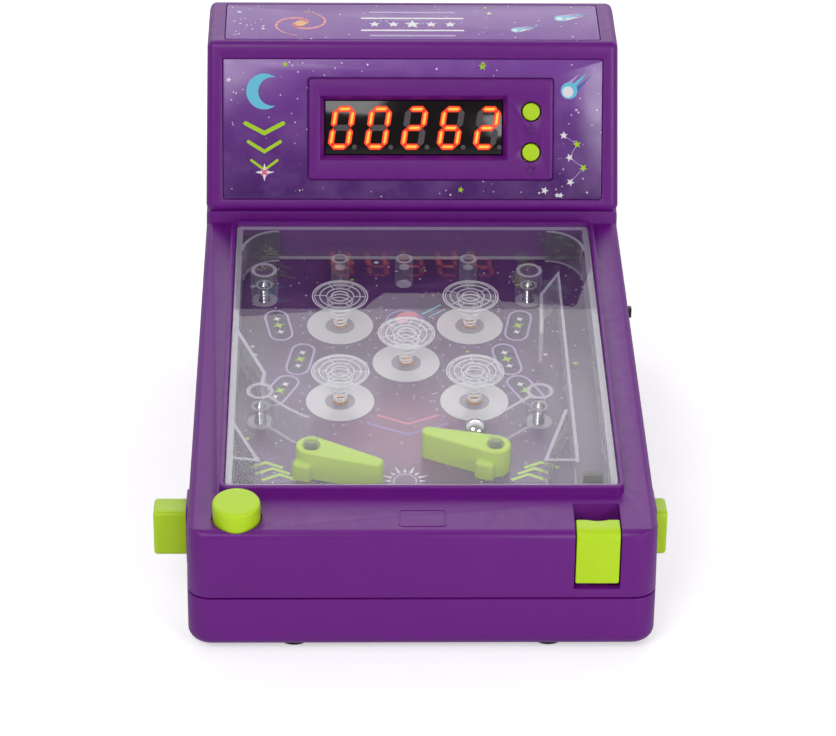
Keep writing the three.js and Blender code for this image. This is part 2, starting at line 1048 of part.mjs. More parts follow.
// Clear cover with everything moulded under it
function coverRibs() {
  const side = -(cover.width - cover.wall) / 2;
  const { guide } = cover;
  return [
    [[side, guide.upper], [guide.waistX, guide.waist], [boss.left, boss.front]],
    [[side, guide.lower], [guide.outlane, lane.foot], [side, lane.foot + cover.rib]],
    [[boss.left, boss.front], [guide.bendX, guide.bend], [guide.leftEndX, guide.leftEnd]],
    [[boss.right, boss.front], [guide.rightEndX, guide.rightEnd]],
    [[guide.spurX, guide.bend], [guide.spurFoot, lane.foot], [lane.divider, lane.foot]],
    [
      [lane.divider, lane.foot - cover.rib],
      [lane.divider, lane.top],
      [guide.gateX, guide.gate],
      [guide.gateFootX, guide.gateFoot],
    ],
  ];
}

function cornerArc(side) {
  const half = cover.width / 2 - cover.wall;
  const { radius, below } = cornerGuide;
  const start = cover.rear - below;
  const centre = half - radius;
  const from = side > 0 ? 0 : Math.PI / 2;
  const to = from + Math.PI / 2;
  const shape = new THREE.Shape()
    .absarc(side * centre, start, radius + cover.rib / 2, from, to, false)
    .absarc(side * centre, start, radius - cover.rib / 2, to, from, true);
  return prism(shape, ribFoot, coverUnder + cover.plate / 2, 4);
}

function pegPlaces() {
  return [-1, 0, 1].map((i) => [bumper.x + i * peg.spacing, peg.v]);
}

function clearCover() {
  const half = cover.width / 2;
  const plan = panel(-half, half, cover.front, cover.rear, cover.radius);
  const outer = prism(plan, ribFoot, cover.top, 2);
  const inner = prism(
    panel(-half + cover.wall, half - cover.wall, cover.front + cover.wall, cover.rear - cover.wall),
    ribFoot - overrun,
    coverUnder,
  );
  const under = coverUnder + cover.plate / 2;
  const ribs = coverRibs().map((points) => prism(strip(points, cover.rib), ribFoot, under));
  const bosses = bossPlaces.map(([x, v]) => rod(boss.radius, ribFoot, under, x, v));
  const pegs = pegPlaces().map(([x, v]) =>
    rod(peg.radius, playfieldTop + peg.lift, under, x, v, 14),
  );
  const pins = Object.values(flipperPlaces).map(([x, v]) =>
    rod(flipper.pin, flipper.top - flipper.boreDepth + gap, under, x, v, 12),
  );
  const joined = join(
    cut(outer, inner),
    ...ribs,
    cornerArc(-1),
    cornerArc(1),
    ...bosses,
    ...pegs,
    ...pins,
  );
  const bores = bossPlaces.map(([x, v]) =>
    rod(boss.bore, ribFoot - overrun, coverUnder - cover.plate / 2, x, v, 12),
  );
  return cut(joined, ...bores);
}

// Playfield plate with the holes for flipper shafts, bumper pins, screws and plunger
function plungerSlot() {
  const half = launcher.hammerWidth / 2 + gap;
  const front = launcher.sleeveRear - launcher.hammer - launcher.travel - gap;
  return box(
    launcher.x - half,
    launcher.x + half,
    front,
    launcher.sleeveRear + gap,
    playfieldBottom - overrun,
    playfieldTop + overrun,
  );
}

function playfield() {
  const half = opening.width / 2 + rim.thickness;
  const front = opening.front - rim.thickness;
  const plan = panel(-half, half, front, opening.rear + rim.thickness, rim.radius);
  const low = playfieldBottom - overrun;
  const high = playfieldTop + overrun;
  const holes = [
    ...Object.values(flipperPlaces).map(([x, v]) => rod(flipper.shaft + gap, low, high, x, v)),
    ...bossPlaces.map(([x, v]) => rod(coverScrew.radius + gap, low, high, x, v, 12)),
    ...bumperPlaces.map(([x, v]) => rod(bumper.pinRadius + gap, low, high, x, v, 10)),
  ];
  const { x, bracket, bracketWidth, sleeve, rodDrop, sleeveRear } = launcher;
  const bracketBlock = box(
    x - bracketWidth / 2,
    x + bracketWidth / 2,
    sleeveRear + gap,
    sleeveRear + gap + bracket,
    -rodDrop - sleeve,
    playfieldBottom + playfieldPlate / 2,
  );
  const bracketHole = alongV(
    rod(launcher.rod + gap, sleeveRear - overrun, sleeveRear + bracket + 2 * overrun, 0, 0, 12),
    x,
    0,
    -rodDrop,
  );
  const plate = prism(plan, playfieldBottom, playfieldTop);
  return cut(join(plate, bracketBlock), ...holes, plungerSlot(), bracketHole);
}

// Flippers and cranks
function flipperForm(mirror) {
  const { length, rootRadius, tipRadius, top, edge, bore, boreDepth, shaft, drive } = flipper;
  const { heelWidth, heelReach, heelHeight } = flipper;
  const low = playfieldTop + gap;
  const blade = softPrism(link(length, rootRadius, tipRadius), low, top, edge, 5, 1);
  const heel = box(
    -heelWidth / 2,
    heelWidth / 2,
    mirror > 0 ? -heelReach : 0,
    mirror > 0 ? 0 : heelReach,
    low,
    low + heelHeight,
  );
  const spindle = rod(shaft, playfieldBottom - gap / 2, low + edge);
  const square = box(
    -drive / 2,
    drive / 2,
    -drive / 2,
    drive / 2,
    crankTop - crank.plate,
    playfieldBottom,
  );
  return cut(
    join(blade, heel, spindle, square),
    rod(bore, top - boreDepth, top + overrun, 0, 0, 14),
  );
}

function crankForm() {
  const { hub, tip, plate, radius, pin, pinLength } = crank;
  const arm = prism(link(radius, hub, tip), crankTop - plate, crankTop, 5);
  const driveHole = box(
    -flipper.drive / 2 - gap,
    flipper.drive / 2 + gap,
    -flipper.drive / 2 - gap,
    flipper.drive / 2 + gap,
    crankTop - plate - overrun,
    crankTop + overrun,
  );
  const post = rod(pin, crankTop - plate - pinLength, crankTop - plate / 2, radius, 0, 12);
  return join(cut(arm, driveHole), post);
}

function addFlippers() {
  const angles = { left: flipper.restAngle, right: Math.PI - flipper.raisedAngle };
  Object.entries(flipperPlaces).forEach(([side, [x, v]]) => {
    const blade = add(deckGroup, side + "_flipper", flipperForm(side === "left" ? 1 : -1), lime);
    blade.position.set(x, v, 0);
    blade.rotation.z = angles[side];
    const link = add(deckGroup, side + "_flipper_crank", crankForm(), darkPlastic);
    link.position.set(x, v, 0);
    link.rotation.z = -Math.PI / 2 - crankSwing;
  });
}

// Side buttons: block, tail with its stop flange, and the slotted arm that drives the crank
function sideButtonForm(side, pressed) {
  const { reach, travel, y, z, depth, height, radius, edge } = sideButton;
  const { tailLength, tailHeight, flange, flangeLip } = sideButton;
  const { armV, armWidth, armDrop, armPlate, padMargin } = sideButton;
  const outer = reach - pressed * travel;
  const shift = -pressed * travel;
  const inside = halfWidthAt(z) - wall + shift;
  const block = softPrism(buttonOutline(0, radius), inside - gap, outer, edge);
  block.applyMatrix4(acrossFrame);
  const low = z - height / 2;
  const tail = box(
    inside - tailLength,
    inside,
    y - depth / 2,
    y + depth / 2,
    low,
    low + tailHeight,
  );
  const stop = box(
    inside - gap - flange,
    inside - gap,
    y - depth / 2 - flangeLip,
    y + depth / 2 + flangeLip,
    low,
    low + tailHeight,
  );
  const [pivotX, pivotV] = flipperPlaces[side > 0 ? "right" : "left"];
  const pinX = side * pivotX - side * crank.radius * Math.sin(crankSwing);
  const pinNear = pivotV - crank.radius;
  const pinFar = pivotV - crank.radius * Math.cos(crankSwing);
  const slotHalf = crank.pin + gap;
  const pad = box(
    pinX - slotHalf - padMargin,
    pinX + slotHalf + padMargin,
    armV,
    pinFar + slotHalf + padMargin,
    -armDrop - armPlate,
    -armDrop,
  );
  const arm = box(
    pinX,
    inside - tailLength / 2,
    armV,
    armV + armWidth,
    -armDrop - armPlate,
    -armDrop,
  );
  const slot = box(
    pinX - slotHalf,
    pinX + slotHalf,
    pinNear - slotHalf,
    pinFar + slotHalf,
    -armDrop - armPlate - overrun,
    -armDrop + overrun,
  );
  const driver = cut(join(pad, arm), slot).applyMatrix4(deckFrame);
  const right = join(block, tail, stop, driver);
  return side > 0 ? right : mirrored(right);
}

function addSideButtons() {
  add(game, "left_flipper_button", sideButtonForm(-1, 0), lime);
  add(game, "right_flipper_button", sideButtonForm(1, 1), lime);
  const { radius, wire, turns, y, z, post, postSize } = returnSpring;
  [
    ["left", -1, 0],
    ["right", 1, 1],
  ].forEach(([name, side, pressed]) => {
    const seat = halfWidthAt(sideButton.z) - wall - sideButton.tailLength;
    const high = seat - pressed * sideButton.travel - gap;
    const low = post + postSize / 2 + gap;
    const coil = spring({ footRadius: radius, topRadius: radius, height: high - low, turns, wire });
    alongX(coil, low, y, z);
    const made = side > 0 ? coil : mirrored(coil);
    add(game, name + "_return_spring", made, steel);
  });
}

// Launcher
function launcherKey() {
  const { keyRear, keyFoot, keyProud, keyEdge, scoopWidth, scoopDepth } = launcher;
  const slopeY = (v, h) => frontY + v * Math.cos(deckSlope) - h * Math.sin(deckSlope);
  const slopeZ = (v, h) => deckHeight + v * Math.sin(deckSlope) + h * Math.cos(deckSlope);
  const profile = outline([
    [frontY - keyProud, keyFoot, 2 * keyEdge],
    [slopeY(keyRear, 0), keyFoot, 2 * keyEdge],
    [slopeY(keyRear, keyProud), slopeZ(keyRear, keyProud), edgeRadius / 2],
    [frontY - keyProud, deckHeight + keyProud, shoulderRadius],
  ]);
  const block = softPrism(profile, keyX - keyHalfWidth, keyX + keyHalfWidth, keyEdge, 3, 1);
  block.applyMatrix4(acrossFrame);
  const scoopRadius = (scoopWidth ** 2 / 4 + scoopDepth ** 2) / (2 * scoopDepth);
  const scoop = rod(
    scoopRadius,
    -shoulderRadius,
    keyProud + overrun,
    keyX,
    keyRear + scoopRadius - scoopDepth,
    36,
  );
  const stem = alongV(
    rod(launcher.rod, keyRear - shoulderRadius, launcher.rodEnd),
    launcher.x,
    0,
    -launcher.rodDrop,
  );
  return join(cut(block, ...inFrame(deckFrame, scoop)), ...inFrame(deckFrame, stem));
}

function launcherPlunger() {
  const { x, sleeve, sleeveFront, sleeveRear, rodDrop, hammer, hammerWidth, hammerTop } = launcher;
  const body = box(
    x - sleeve,
    x + sleeve,
    sleeveFront,
    sleeveRear,
    -rodDrop - sleeve,
    playfieldBottom - gap,
  );
  const head = box(
    x - hammerWidth / 2,
    x + hammerWidth / 2,
    sleeveRear - hammer,
    sleeveRear,
    -rodDrop,
    hammerTop,
  );
  const bore = alongV(
    rod(launcher.rod + gap, sleeveFront - overrun, sleeveRear + overrun, 0, 0, 12),
    x,
    0,
    -rodDrop,
  );
  return cut(join(body, head), bore);
}

function addLauncher() {
  add(game, "launcher_key", launcherKey(), lime);
  add(deckGroup, "launcher_plunger", launcherPlunger(), darkPlastic);
  const wallRear = launcher.wellRear + launcher.wellWall + launcher.wellWall;
  const low = wallRear + gap;
  const high = launcher.sleeveFront - gap;
  const { springRadius, wire, turns } = launcher;
  const coil = spring({
    footRadius: springRadius,
    topRadius: springRadius,
    height: high - low,
    turns,
    wire,
  });
  add(deckGroup, "launcher_spring", alongV(coil, launcher.x, low, -launcher.rodDrop), steel);
}

// Round button
function addRoundButton() {
  const { x, v, radius, top, edge, bar, barLength, barWidth } = roundButton;
  const { springRadius, wire, turns, springLength } = roundButton;
  const barTop = -wall - gap;
  const cap = softPrism(circle(radius), barTop - bar, top, edge, 12, 2);
  const stop = box(
    -barLength / 2,
    barLength / 2,
    -barWidth / 2,
    barWidth / 2,
    barTop - bar,
    barTop,
  );
  const button = add(deckGroup, "round_button", join(cap, stop), lime);
  button.position.set(x, v, 0);
  const coil = spring({
    footRadius: springRadius,
    topRadius: springRadius,
    height: springLength - gap,
    turns,
    wire,
  });
  const made = add(deckGroup, "round_button_spring", coil, steel);
  made.position.set(x, v, barTop - bar - springLength);
}

// Bumpers
function bumperCap() {
  const { capRadius, capPlate, ridge, ridgeDrop, middleRing, innerRing, hub, stem } = bumper;
  const low = -capPlate;
  const drop = low - ridgeDrop;
  return turned(
    [
      [0, -bumper.stemLength],
      [stem, -bumper.stemLength],
      [stem, drop],
      [hub, drop],
      [hub, low],
      [innerRing, low],
      [innerRing, drop],
      [innerRing + ridge, drop],
      [innerRing + ridge, low],
      [middleRing, low],
      [middleRing, drop],
      [middleRing + ridge, drop],
      [middleRing + ridge, low],
      [capRadius - ridge, low],
      [capRadius - ridge, drop],
      [capRadius, drop],
      [capRadius, 0],
      [0, 0],
    ],
    14,
  );
}

function bumperPin() {
  const { pinRadius, pinFlange, pinPlate, pinHead, pinTail } = bumper;
  return turned(
    [
      [0, playfieldBottom - pinTail],
      [pinRadius, playfieldBottom - pinTail],
      [pinRadius, ribFoot],
      [pinFlange, ribFoot],
      [pinFlange, ribFoot + pinPlate],
      [pinRadius, ribFoot + pinPlate],
      [pinRadius, ribFoot + pinPlate + pinHead],
      [0, ribFoot + pinPlate + pinHead],
    ],
    8,
  );
}

function addBumpers() {
  const capTop = coverUnder - gap;
  const springFoot = ribFoot + bumper.pinPlate + gap;
  const springHigh = capTop - bumper.capPlate - bumper.ridgeDrop - gap;
  bumperPlaces.forEach(([x, v], i) => {
    const number = i + 1;
    const cap = add(deckGroup, "bumper_cap_" + number, bumperCap(), clear);
    cap.position.set(x, v, capTop);
    const coil = spring({
      footRadius: bumper.springFoot,
      topRadius: bumper.springTop,
      height: springHigh - springFoot,
      turns: bumper.turns,
      wire: bumper.wire,
    });
    add(deckGroup, "bumper_spring_" + number, coil, steel).position.set(x, v, springFoot);
    add(deckGroup, "bumper_pin_" + number, bumperPin(), brass).position.set(x, v, 0);
  });
}

// Cover screws, driven up through the playfield into the clear bosses
function addCoverScrews() {
  const { radius, head, headHeight, length } = coverScrew;
  const under = playfieldBottom - gap;
  const form = turned(
    [
      [0, under - headHeight],
      [head, under - headHeight],
      [head, under],
      [radius, under],
      [radius, under + length],
      [0, under + length],
    ],
    12,
  );
  bossPlaces.forEach(([x, v], i) => {
    add(deckGroup, "cover_screw_" + (i + 1), form.clone(), steel).position.set(x, v, 0);
  });
}

// Score head
function addHead() {
  const { width, low, high } = faceSticker;
  const sheetLow = -sticker.recess + gap;
  const faceSheet = panel(
    -width / 2 + gap,
    width / 2 - gap,
    low + gap,
    high - gap,
    sticker.radius,
  );
  faceSheet.holes.push(
    panel(bezel.left - gap, bezel.right + gap, bezel.low - gap, bezel.high + gap, bezel.radius),
  );
  add(faceGroup, "face_sticker", prism(faceSheet, sheetLow, sheetLow + sticker.sheet, 1), printed);
  const topSheet = panel(
    -topSticker.width / 2 + gap,
    topSticker.width / 2 - gap,
    topSticker.front + gap,
    topSticker.rear - gap,
    sticker.radius,
  );
  add(topGroup, "top_sticker", prism(topSheet, sheetLow, sheetLow + sticker.sheet, 1), printed);
  add(faceGroup, "display_bezel", displayBezel(), brightPurple);
  add(
    faceGroup,
    "display_module",
    box(
      display.left + gap,
      display.right - gap,
      display.low + gap,
      display.high - gap,
      -display.sink - display.depth,
      -display.sink,
    ),
    darkPlastic,
  );
  add(faceGroup, "display_board", displayBoardForm(), boardGreen);
  ["power", "reset"].forEach((name) => {
    const button = add(faceGroup, name + "_button", headButtonForm(), lime);
    button.position.set(headButton.x, headButton[name], 0);
  });
}

// A four-sided funnel: a window that widens by a margin towards its upper end.
function funnel(left, right, low, high, margin, foot, top) {
  const form = box(left, right, low, high, foot, top);
  const positions = form.attributes.position;
  const middleX = (left + right) / 2;
  const middleY = (low + high) / 2;
  for (let i = 0; i < positions.count; i += 1) {
    if (positions.getZ(i) < (foot + top) / 2) continue;
    positions.setX(i, positions.getX(i) + Math.sign(positions.getX(i) - middleX) * margin);
    positions.setY(i, positions.getY(i) + Math.sign(positions.getY(i) - middleY) * margin);
  }
  return form;
}

function displayBezel() {
  const { left, right, low, high, proud, radius, lap, depth, mitre, mitreDepth } = bezel;
  const floor = -sticker.recess + gap;
  const block = softPrism(panel(left, right, low, high, radius), floor, proud, gap, 1, 1);
  const plug = prism(
    panel(left + lap, right - lap, low + lap, high - lap, radius),
    -depth,
    floor + gap,
    1,
  );
  const window = box(
    display.left,
    display.right,
    display.low,
    display.high,
    -depth - overrun,
    proud,
  );
  const mouth = funnel(
    display.left,
    display.right,
    display.low,
    display.high,
    mitre,
    proud - mitreDepth,
    proud,
  );
  const lid = box(
    display.left - mitre,
    display.right + mitre,
    display.low - mitre,
    display.high + mitre,
    proud,
    proud + overrun,
  );
  const holes = ["power", "reset"].map((name) =>
    rod(
      headButton.radius + headButton.annulus,
      -depth - overrun,
      proud + overrun,
      headButton.x,
      headButton[name],
      20,
    ),
  );
  return cut(join(block, plug), window, mouth, lid, ...holes);
}

function displayBoardForm() {
  const { margin, low, high, plate } = displayBoard;
  const top = -display.sink - display.depth - gap - gap;
  const { x, switchSize, flange, travel } = headButton;
  const switchTop = -bezel.depth - gap - flange - travel - gap;
  const board = box(bezel.left - margin, bezel.right + margin, low, high, top - plate, top);
  const switches = ["power", "reset"].map((name) =>
    box(
      x - switchSize / 2,
      x + switchSize / 2,
      headButton[name] - switchSize / 2,
      headButton[name] + switchSize / 2,
      top - plate / 2,
      switchTop,
    ),
  );
  return join(board, ...switches);
}

function headButtonForm() {
  const { radius, proud, flange, flangeLip, annulus } = headButton;
  const flangeTop = -bezel.depth - gap;
  const stem = softPrism(circle(radius), flangeTop - flange, proud, gap, 9, 1);
  return join(stem, rod(radius + annulus + flangeLip, flangeTop - flange, flangeTop, 0, 0, 18));
}

// Slide switch
function addSlideSwitch() {
  const { knobDepth, knobHeight, proud, travel } = slideSwitch;
  const { bodyDepth, bodyHeight, bodyThickness, floor } = slideSwitch;
  const y = switchY;
  const z = switchZ;
  const face = halfWidthAt(z);
  const bodyOuter = halfWidthAt(z + bodyHeight / 2) - wall - gap;
  const middle = y + travel / 2;
  const body = box(
    bodyOuter - bodyThickness,
    bodyOuter,
    middle - bodyDepth / 2,
    middle + bodyDepth / 2,
    z - bodyHeight / 2,
    z + bodyHeight / 2,
  );
  const channel = box(
    bodyOuter - bodyThickness + floor,
    bodyOuter + overrun,
    y - knobDepth / 2 - gap,
    y + knobDepth / 2 + travel + gap,
    z - knobHeight / 2 - gap,
    z + knobHeight / 2 + gap,
  );
  add(game, "slide_switch_body", cut(body, channel), darkPlastic);
  add(
    game,
    "slide_switch_knob",
    box(
      bodyOuter - bodyThickness + floor + gap,
      face + proud,
      y - knobDepth / 2,
      y + knobDepth / 2,
      z - knobHeight / 2,
      z + knobHeight / 2,
    ),
    darkPlastic,
  );
}

// Ball
function addBall() {
  const form = new THREE.SphereGeometry(ball.radius, 16, 10);
  const steelBall = add(deckGroup, "ball", form, steel);
  steelBall.position.set(ball.x, ball.v, playfieldTop + ball.radius + gap / 2);
}

// Base electrics and feet
function addFeet() {
  footPlaces().forEach(([x, y], i) => {
    const pad = rod(foot.radius, 0, foot.height + foot.recess - gap, x, y, 16);
    add(game, "foot_" + (i + 1), pad, rubber);
  });
}

function addBatteries() {
  const { y, contact, contactBump, contactHeight, endRoom } = battery;
  const { radius, body, nub, length, pitch, count } = cell;
  const rows = Array.from({ length: count }, (unused, i) => y + (i - (count - 1) / 2) * pitch);
  const profile = [
    [0, 0],
    [radius, 0],
    [radius, body],
    [nub, body],
    [nub, length],
    [0, length],
  ];
  rows.forEach((row, i) => {
    const form = turned(profile, 14);
    alongX(form, -length / 2, 0, 0);
    const made = add(game, "battery_" + (i + 1), form, cellGrey);
    made.position.set(0, row, cellZ);
    if (i % 2) made.rotation.z = Math.PI;
  });
  [
    ["left", -1],
    ["right", 1],
  ].forEach(([name, side]) => {
    const outer = bayLength / 2 - gap;
    const plate = box(
      outer - contact,
      outer,
      rows[0] - radius + gap,
      rows.at(-1) + radius - gap,
      cellZ - contactHeight / 2,
      cellZ + contactHeight / 2,
    );
    const bumpEnd = endRoom - 2 * gap - contact / 2;
    const bumps = rows.map((row) =>
      alongX(rod(contactBump, 0, bumpEnd, 0, 0, 10), length / 2 + gap, row, cellZ),
    );
    const right = join(plate, ...bumps);
    add(game, "battery_contact_" + name, side > 0 ? right : mirrored(right), steel);
  });
}

function addBatteryDoor() {
  const { y, wall: side, doorPlate, tab, tabWidth, tongue } = battery;
  const { screw, screwHead, screwLength } = battery;
  const low = foot.height;
  const front = y - bayWidth / 2 + gap;
  const rear = y + bayWidth / 2 - gap;
  const half = bayLength / 2 - gap;
  const plate = box(-half, half, front, rear, low, doorTop);
  const ear = box(
    -tabWidth / 2,
    tabWidth / 2,
    rear - side,
    rear + tongue,
    low,
    low + doorPlate / 2,
  );
  const hooks = [-1, 1].flatMap((end) => [
    box(
      end * (half / 2) - tab,
      end * (half / 2) + tab,
      front,
      front + side,
      low + doorPlate / 2,
      trayFloor + gap + side,
    ),
    box(
      end * (half / 2) - tab,
      end * (half / 2) + tab,
      front - tab,
      front + side,
      trayFloor + gap,
      trayFloor + gap + side,
    ),
  ]);
  const hole = rod(screw + gap, low - overrun, doorTop, 0, doorScrewY(), 12);
  add(game, "battery_door", cut(join(plate, ear, ...hooks), hole), brightPurple);
  const form = turned(
    [
      [0, low - gap - screw],
      [screwHead, low - gap - screw],
      [screwHead, low - gap],
      [screw, low - gap],
      [screw, low + screwLength],
      [0, low + screwLength],
    ],
    12,
  );
  add(game, "battery_door_screw", form, steel).position.set(0, doorScrewY(), 0);
}

function addSpeaker() {
  const { x, y, radius, depth, magnet } = speaker;
  const low = trayFloor + gap;
  const form = turned(
    [
      [0, low],
      [radius, low],
      [radius, low + depth / 3],
      [magnet, low + (2 * depth) / 3],
      [magnet, low + depth],
      [0, low + depth],
    ],
    18,
  );
  add(game, "speaker", form, darkPlastic).position.set(x, y, 0);
}

function addMainBoard() {
  const { x, y, width, depth, plate, lift } = mainBoard;
  const low = trayFloor + lift + gap;
  const board = box(x - width / 2, x + width / 2, y - depth / 2, y + depth / 2, low, low + plate);
  const chip = box(x - depth / 4, x + depth / 4, y - depth / 4, y + depth / 4, low, low + 2 * plate);
  add(game, "main_board", join(board, chip), boardGreen);
}

add(game, "base_tray", baseTray(), brightPurple);
add(game, "upper_housing", upperHousing(), purple);
add(deckGroup, "game_cover", clearCover(), clear);
add(deckGroup, "playfield", playfield(), printed);
addFlippers();
addSideButtons();
addLauncher();
addRoundButton();
addBumpers();
addCoverScrews();
addHead();
addSlideSwitch();
addBall();
addFeet();
addBatteries();
addBatteryDoor();
addSpeaker();
addMainBoard();

// The side buttons and the key stand out on one side only, which moves the footprint's middle.
game.position.set(sideButton.travel / 2, launcher.keyProud / 2, 0);
const part = new THREE.Group();
part.add(game);

export default part;
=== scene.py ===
import json
import math
import random

import bmesh
import bpy
from bpy.props import FloatProperty, FloatVectorProperty, IntProperty, PointerProperty
from mathutils import Matrix, Vector


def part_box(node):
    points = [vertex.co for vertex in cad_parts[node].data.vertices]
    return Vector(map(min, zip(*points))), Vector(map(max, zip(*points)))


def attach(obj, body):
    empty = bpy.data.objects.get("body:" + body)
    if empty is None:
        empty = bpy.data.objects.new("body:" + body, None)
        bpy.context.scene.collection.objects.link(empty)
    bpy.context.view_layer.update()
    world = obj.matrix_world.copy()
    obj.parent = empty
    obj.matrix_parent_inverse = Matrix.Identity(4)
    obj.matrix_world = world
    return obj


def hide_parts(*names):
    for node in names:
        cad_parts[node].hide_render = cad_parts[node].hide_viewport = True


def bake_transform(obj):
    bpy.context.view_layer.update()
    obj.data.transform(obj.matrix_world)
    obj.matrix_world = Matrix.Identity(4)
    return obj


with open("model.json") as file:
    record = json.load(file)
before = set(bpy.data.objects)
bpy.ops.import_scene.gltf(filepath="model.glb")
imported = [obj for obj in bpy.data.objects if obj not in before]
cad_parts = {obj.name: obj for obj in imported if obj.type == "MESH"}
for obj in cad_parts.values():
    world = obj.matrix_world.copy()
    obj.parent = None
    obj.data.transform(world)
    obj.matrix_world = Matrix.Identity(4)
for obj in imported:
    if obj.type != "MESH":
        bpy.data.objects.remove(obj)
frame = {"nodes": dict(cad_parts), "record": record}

bl_info = {
    "name": "Handheld pinball game",
    "version": (1, 0, 0),
    "blender": (4, 5, 0),
    "location": "3D View > Sidebar > Pinball",
    "description": "Dresses the packed frame of a handheld pinball game",
    "category": "Object",
}

# Lengths here are millimetres in the game's own frame. SHIFT takes them to the frame's origin.
MM = 0.001
SHIFT = Matrix.Translation((3.25, 0.15, 0))
WALL = 2.2
GAP = 0.3
# The housing seen from the side: its two halves, the sloping deck and the leaning head
FRONT, REAR = -112.0, 112.0
HALF = 72.5
PARTING = 19.5
DECK_HEIGHT = 42.4
SLOPE = math.radians(8.3)
LEAN = math.radians(18.7)
DRAFT = 0.02
DECK_REAR = (FRONT + 176.3 * math.cos(SLOPE), DECK_HEIGHT + 176.3 * math.sin(SLOPE))
FACE_FOOT = (DECK_REAR[0] - 2.4, DECK_REAR[1] + 4.5)
FACE_TOP = (FACE_FOOT[0] + 59.5 * math.sin(LEAN), FACE_FOOT[1] + 59.5 * math.cos(LEAN))
HEAD_TOP = FACE_TOP[1] + (REAR - FACE_TOP[0]) * math.tan(SLOPE)
# Heights over the deck, and the cover's outline on it
FIELD = -10.5
COVER_TOP = 3.6
COVER_UNDER = 2.0
RIB_FOOT = FIELD + GAP
COVER_HALF, COVER_FRONT, COVER_REAR = 61.0, 20.6, 170.8
# Shading, light and camera
SMOOTH_ANGLE = math.radians(32)
ROOM_LIGHT = 0.34
SENSOR, FOCAL_PIXELS, PICTURE_WIDTH = 36, 3167.35, 836

# ACROSS turns a side view into a form raised across the game. The rest are places on the housing.
ACROSS = Matrix(((0, 0, 1, 0), (1, 0, 0, 0), (0, 1, 0, 0), (0, 0, 0, 1)))
DECK = Matrix.Translation((0, FRONT, DECK_HEIGHT)) @ Matrix.Rotation(SLOPE, 4, "X")
FACE = Matrix.Translation((0, *FACE_FOOT)) @ Matrix.Rotation(math.pi / 2 - LEAN, 4, "X")
TOP = Matrix.Translation((0, *FACE_TOP)) @ Matrix.Rotation(SLOPE, 4, "X")
# The plunger's axis, under the deck
PLUNGER = Matrix.Translation((54.2, 0, -15.9)) @ Matrix.Rotation(-math.pi / 2, 4, "X")

# On the deck: across, then up its slope
BUMPERS = [(-25.25, 128), (18.75, 128), (-3.25, 106), (-25.25, 84), (18.75, 84)]
PEGS = [-25.25, -3.25, 18.75]
PEG_ROW = 150.4
BOSSES = [(-51.1, 72.3), (-51.1, 143.2), (39.2, 72.3), (39.2, 143.2)]
FLIPPERS = {"left": (-34.4, 46.0), "right": (23.9, 46.6)}
# On the ground plan: across, then towards the rear
FEET = [(x, y) for x in (-39.6, 39.6) for y in (FRONT + 9, REAR - 9)]
POSTS = [(x, y) for x in (-66.2, 66.2) for y in (FRONT + 15.4, REAR - 5.8)]
BUTTON_Y = FRONT + 26.8
BUTTON_Z = 29.95
SPRING_Y = FRONT + 24.6
BATTERY_Y = REAR - 82
SPEAKER_X, SPEAKER_Y = -38, REAR - 30
SWITCH_Y = FRONT + 129.03
# On the face of the head: across, then up
WINDOW = (-30.7, 31.4, 20.4, 39.6)
DIGITS_LEFT, DIGITS_LOW, DIGIT_PITCH, DIGIT_WIDTH, SEGMENT = -29.8, 22.3, 12.6, 8.1, 2.1
HEAD_BUTTONS = {"power": (41, 35.8), "reset": (41, 21.7)}


def length(name, description, millimetres):
    return FloatProperty(name=name, description=description, default=millimetres * MM, unit="LENGTH")


class PinballSizes(bpy.types.PropertyGroup):
    """Sizes of the dressed pieces"""

    edge: length("Moulded edge", "Radius left on cut edges", 0.25)
    grain: length("Grain", "Size of the texture on the moulded plastic", 0.35)
    spring_wire: length("Spring wire", "Thickness of the bumper spring wire", 0.5)
    spring_turns: FloatProperty(name="Spring turns", description="Turns of a bumper spring", default=6.5)
    cap_spokes: IntProperty(name="Cap spokes", description="Radial ribs under a bumper cap", default=6)
    ring_outer: length("Bumper ring", "Outer radius of the ring round a bumper", 11.2)
    digit_height: length("Digit height", "Height of a display digit", 15.2)
    digit_slant: FloatProperty(
        name="Digit slant",
        description="Lean of the display digits",
        default=math.radians(8.7),
        subtype="ANGLE",
    )
    thread_pitch: length("Thread pitch", "Pitch of the cover screws", 1.3)


def tint(name, description, red, green, blue):
    return FloatVectorProperty(
        name=name,
        description=description,
        subtype="COLOR_GAMMA",
        size=3,
        min=0,
        max=1,
        default=(red / 255, green / 255, blue / 255),
    )


class PinballColours(bpy.types.PropertyGroup):
    """Colours of the dressed pieces"""

    housing: tint("Housing", "Purple of the two housing halves", 104, 14, 128)
    lime: tint("Lime", "Buttons, key and flippers", 186, 224, 26)
    sheet_high: tint("Sheet, upper", "Upper edge of the face sheet", 122, 66, 158)
    sheet_low: tint("Sheet, lower", "Lower edge of the face sheet", 72, 24, 100)
    field_high: tint("Playfield, upper", "Rear end of the playfield", 66, 24, 84)
    field_low: tint("Playfield, lower", "Front end of the playfield", 84, 42, 104)
    field_warm: tint("Playfield, middle", "Warm patch before the flippers", 138, 56, 112)
    lit: tint("Lit segment", "Display segment that is on", 255, 62, 24)
    unlit: tint("Unlit segment", "Display segment that is off", 82, 76, 80)


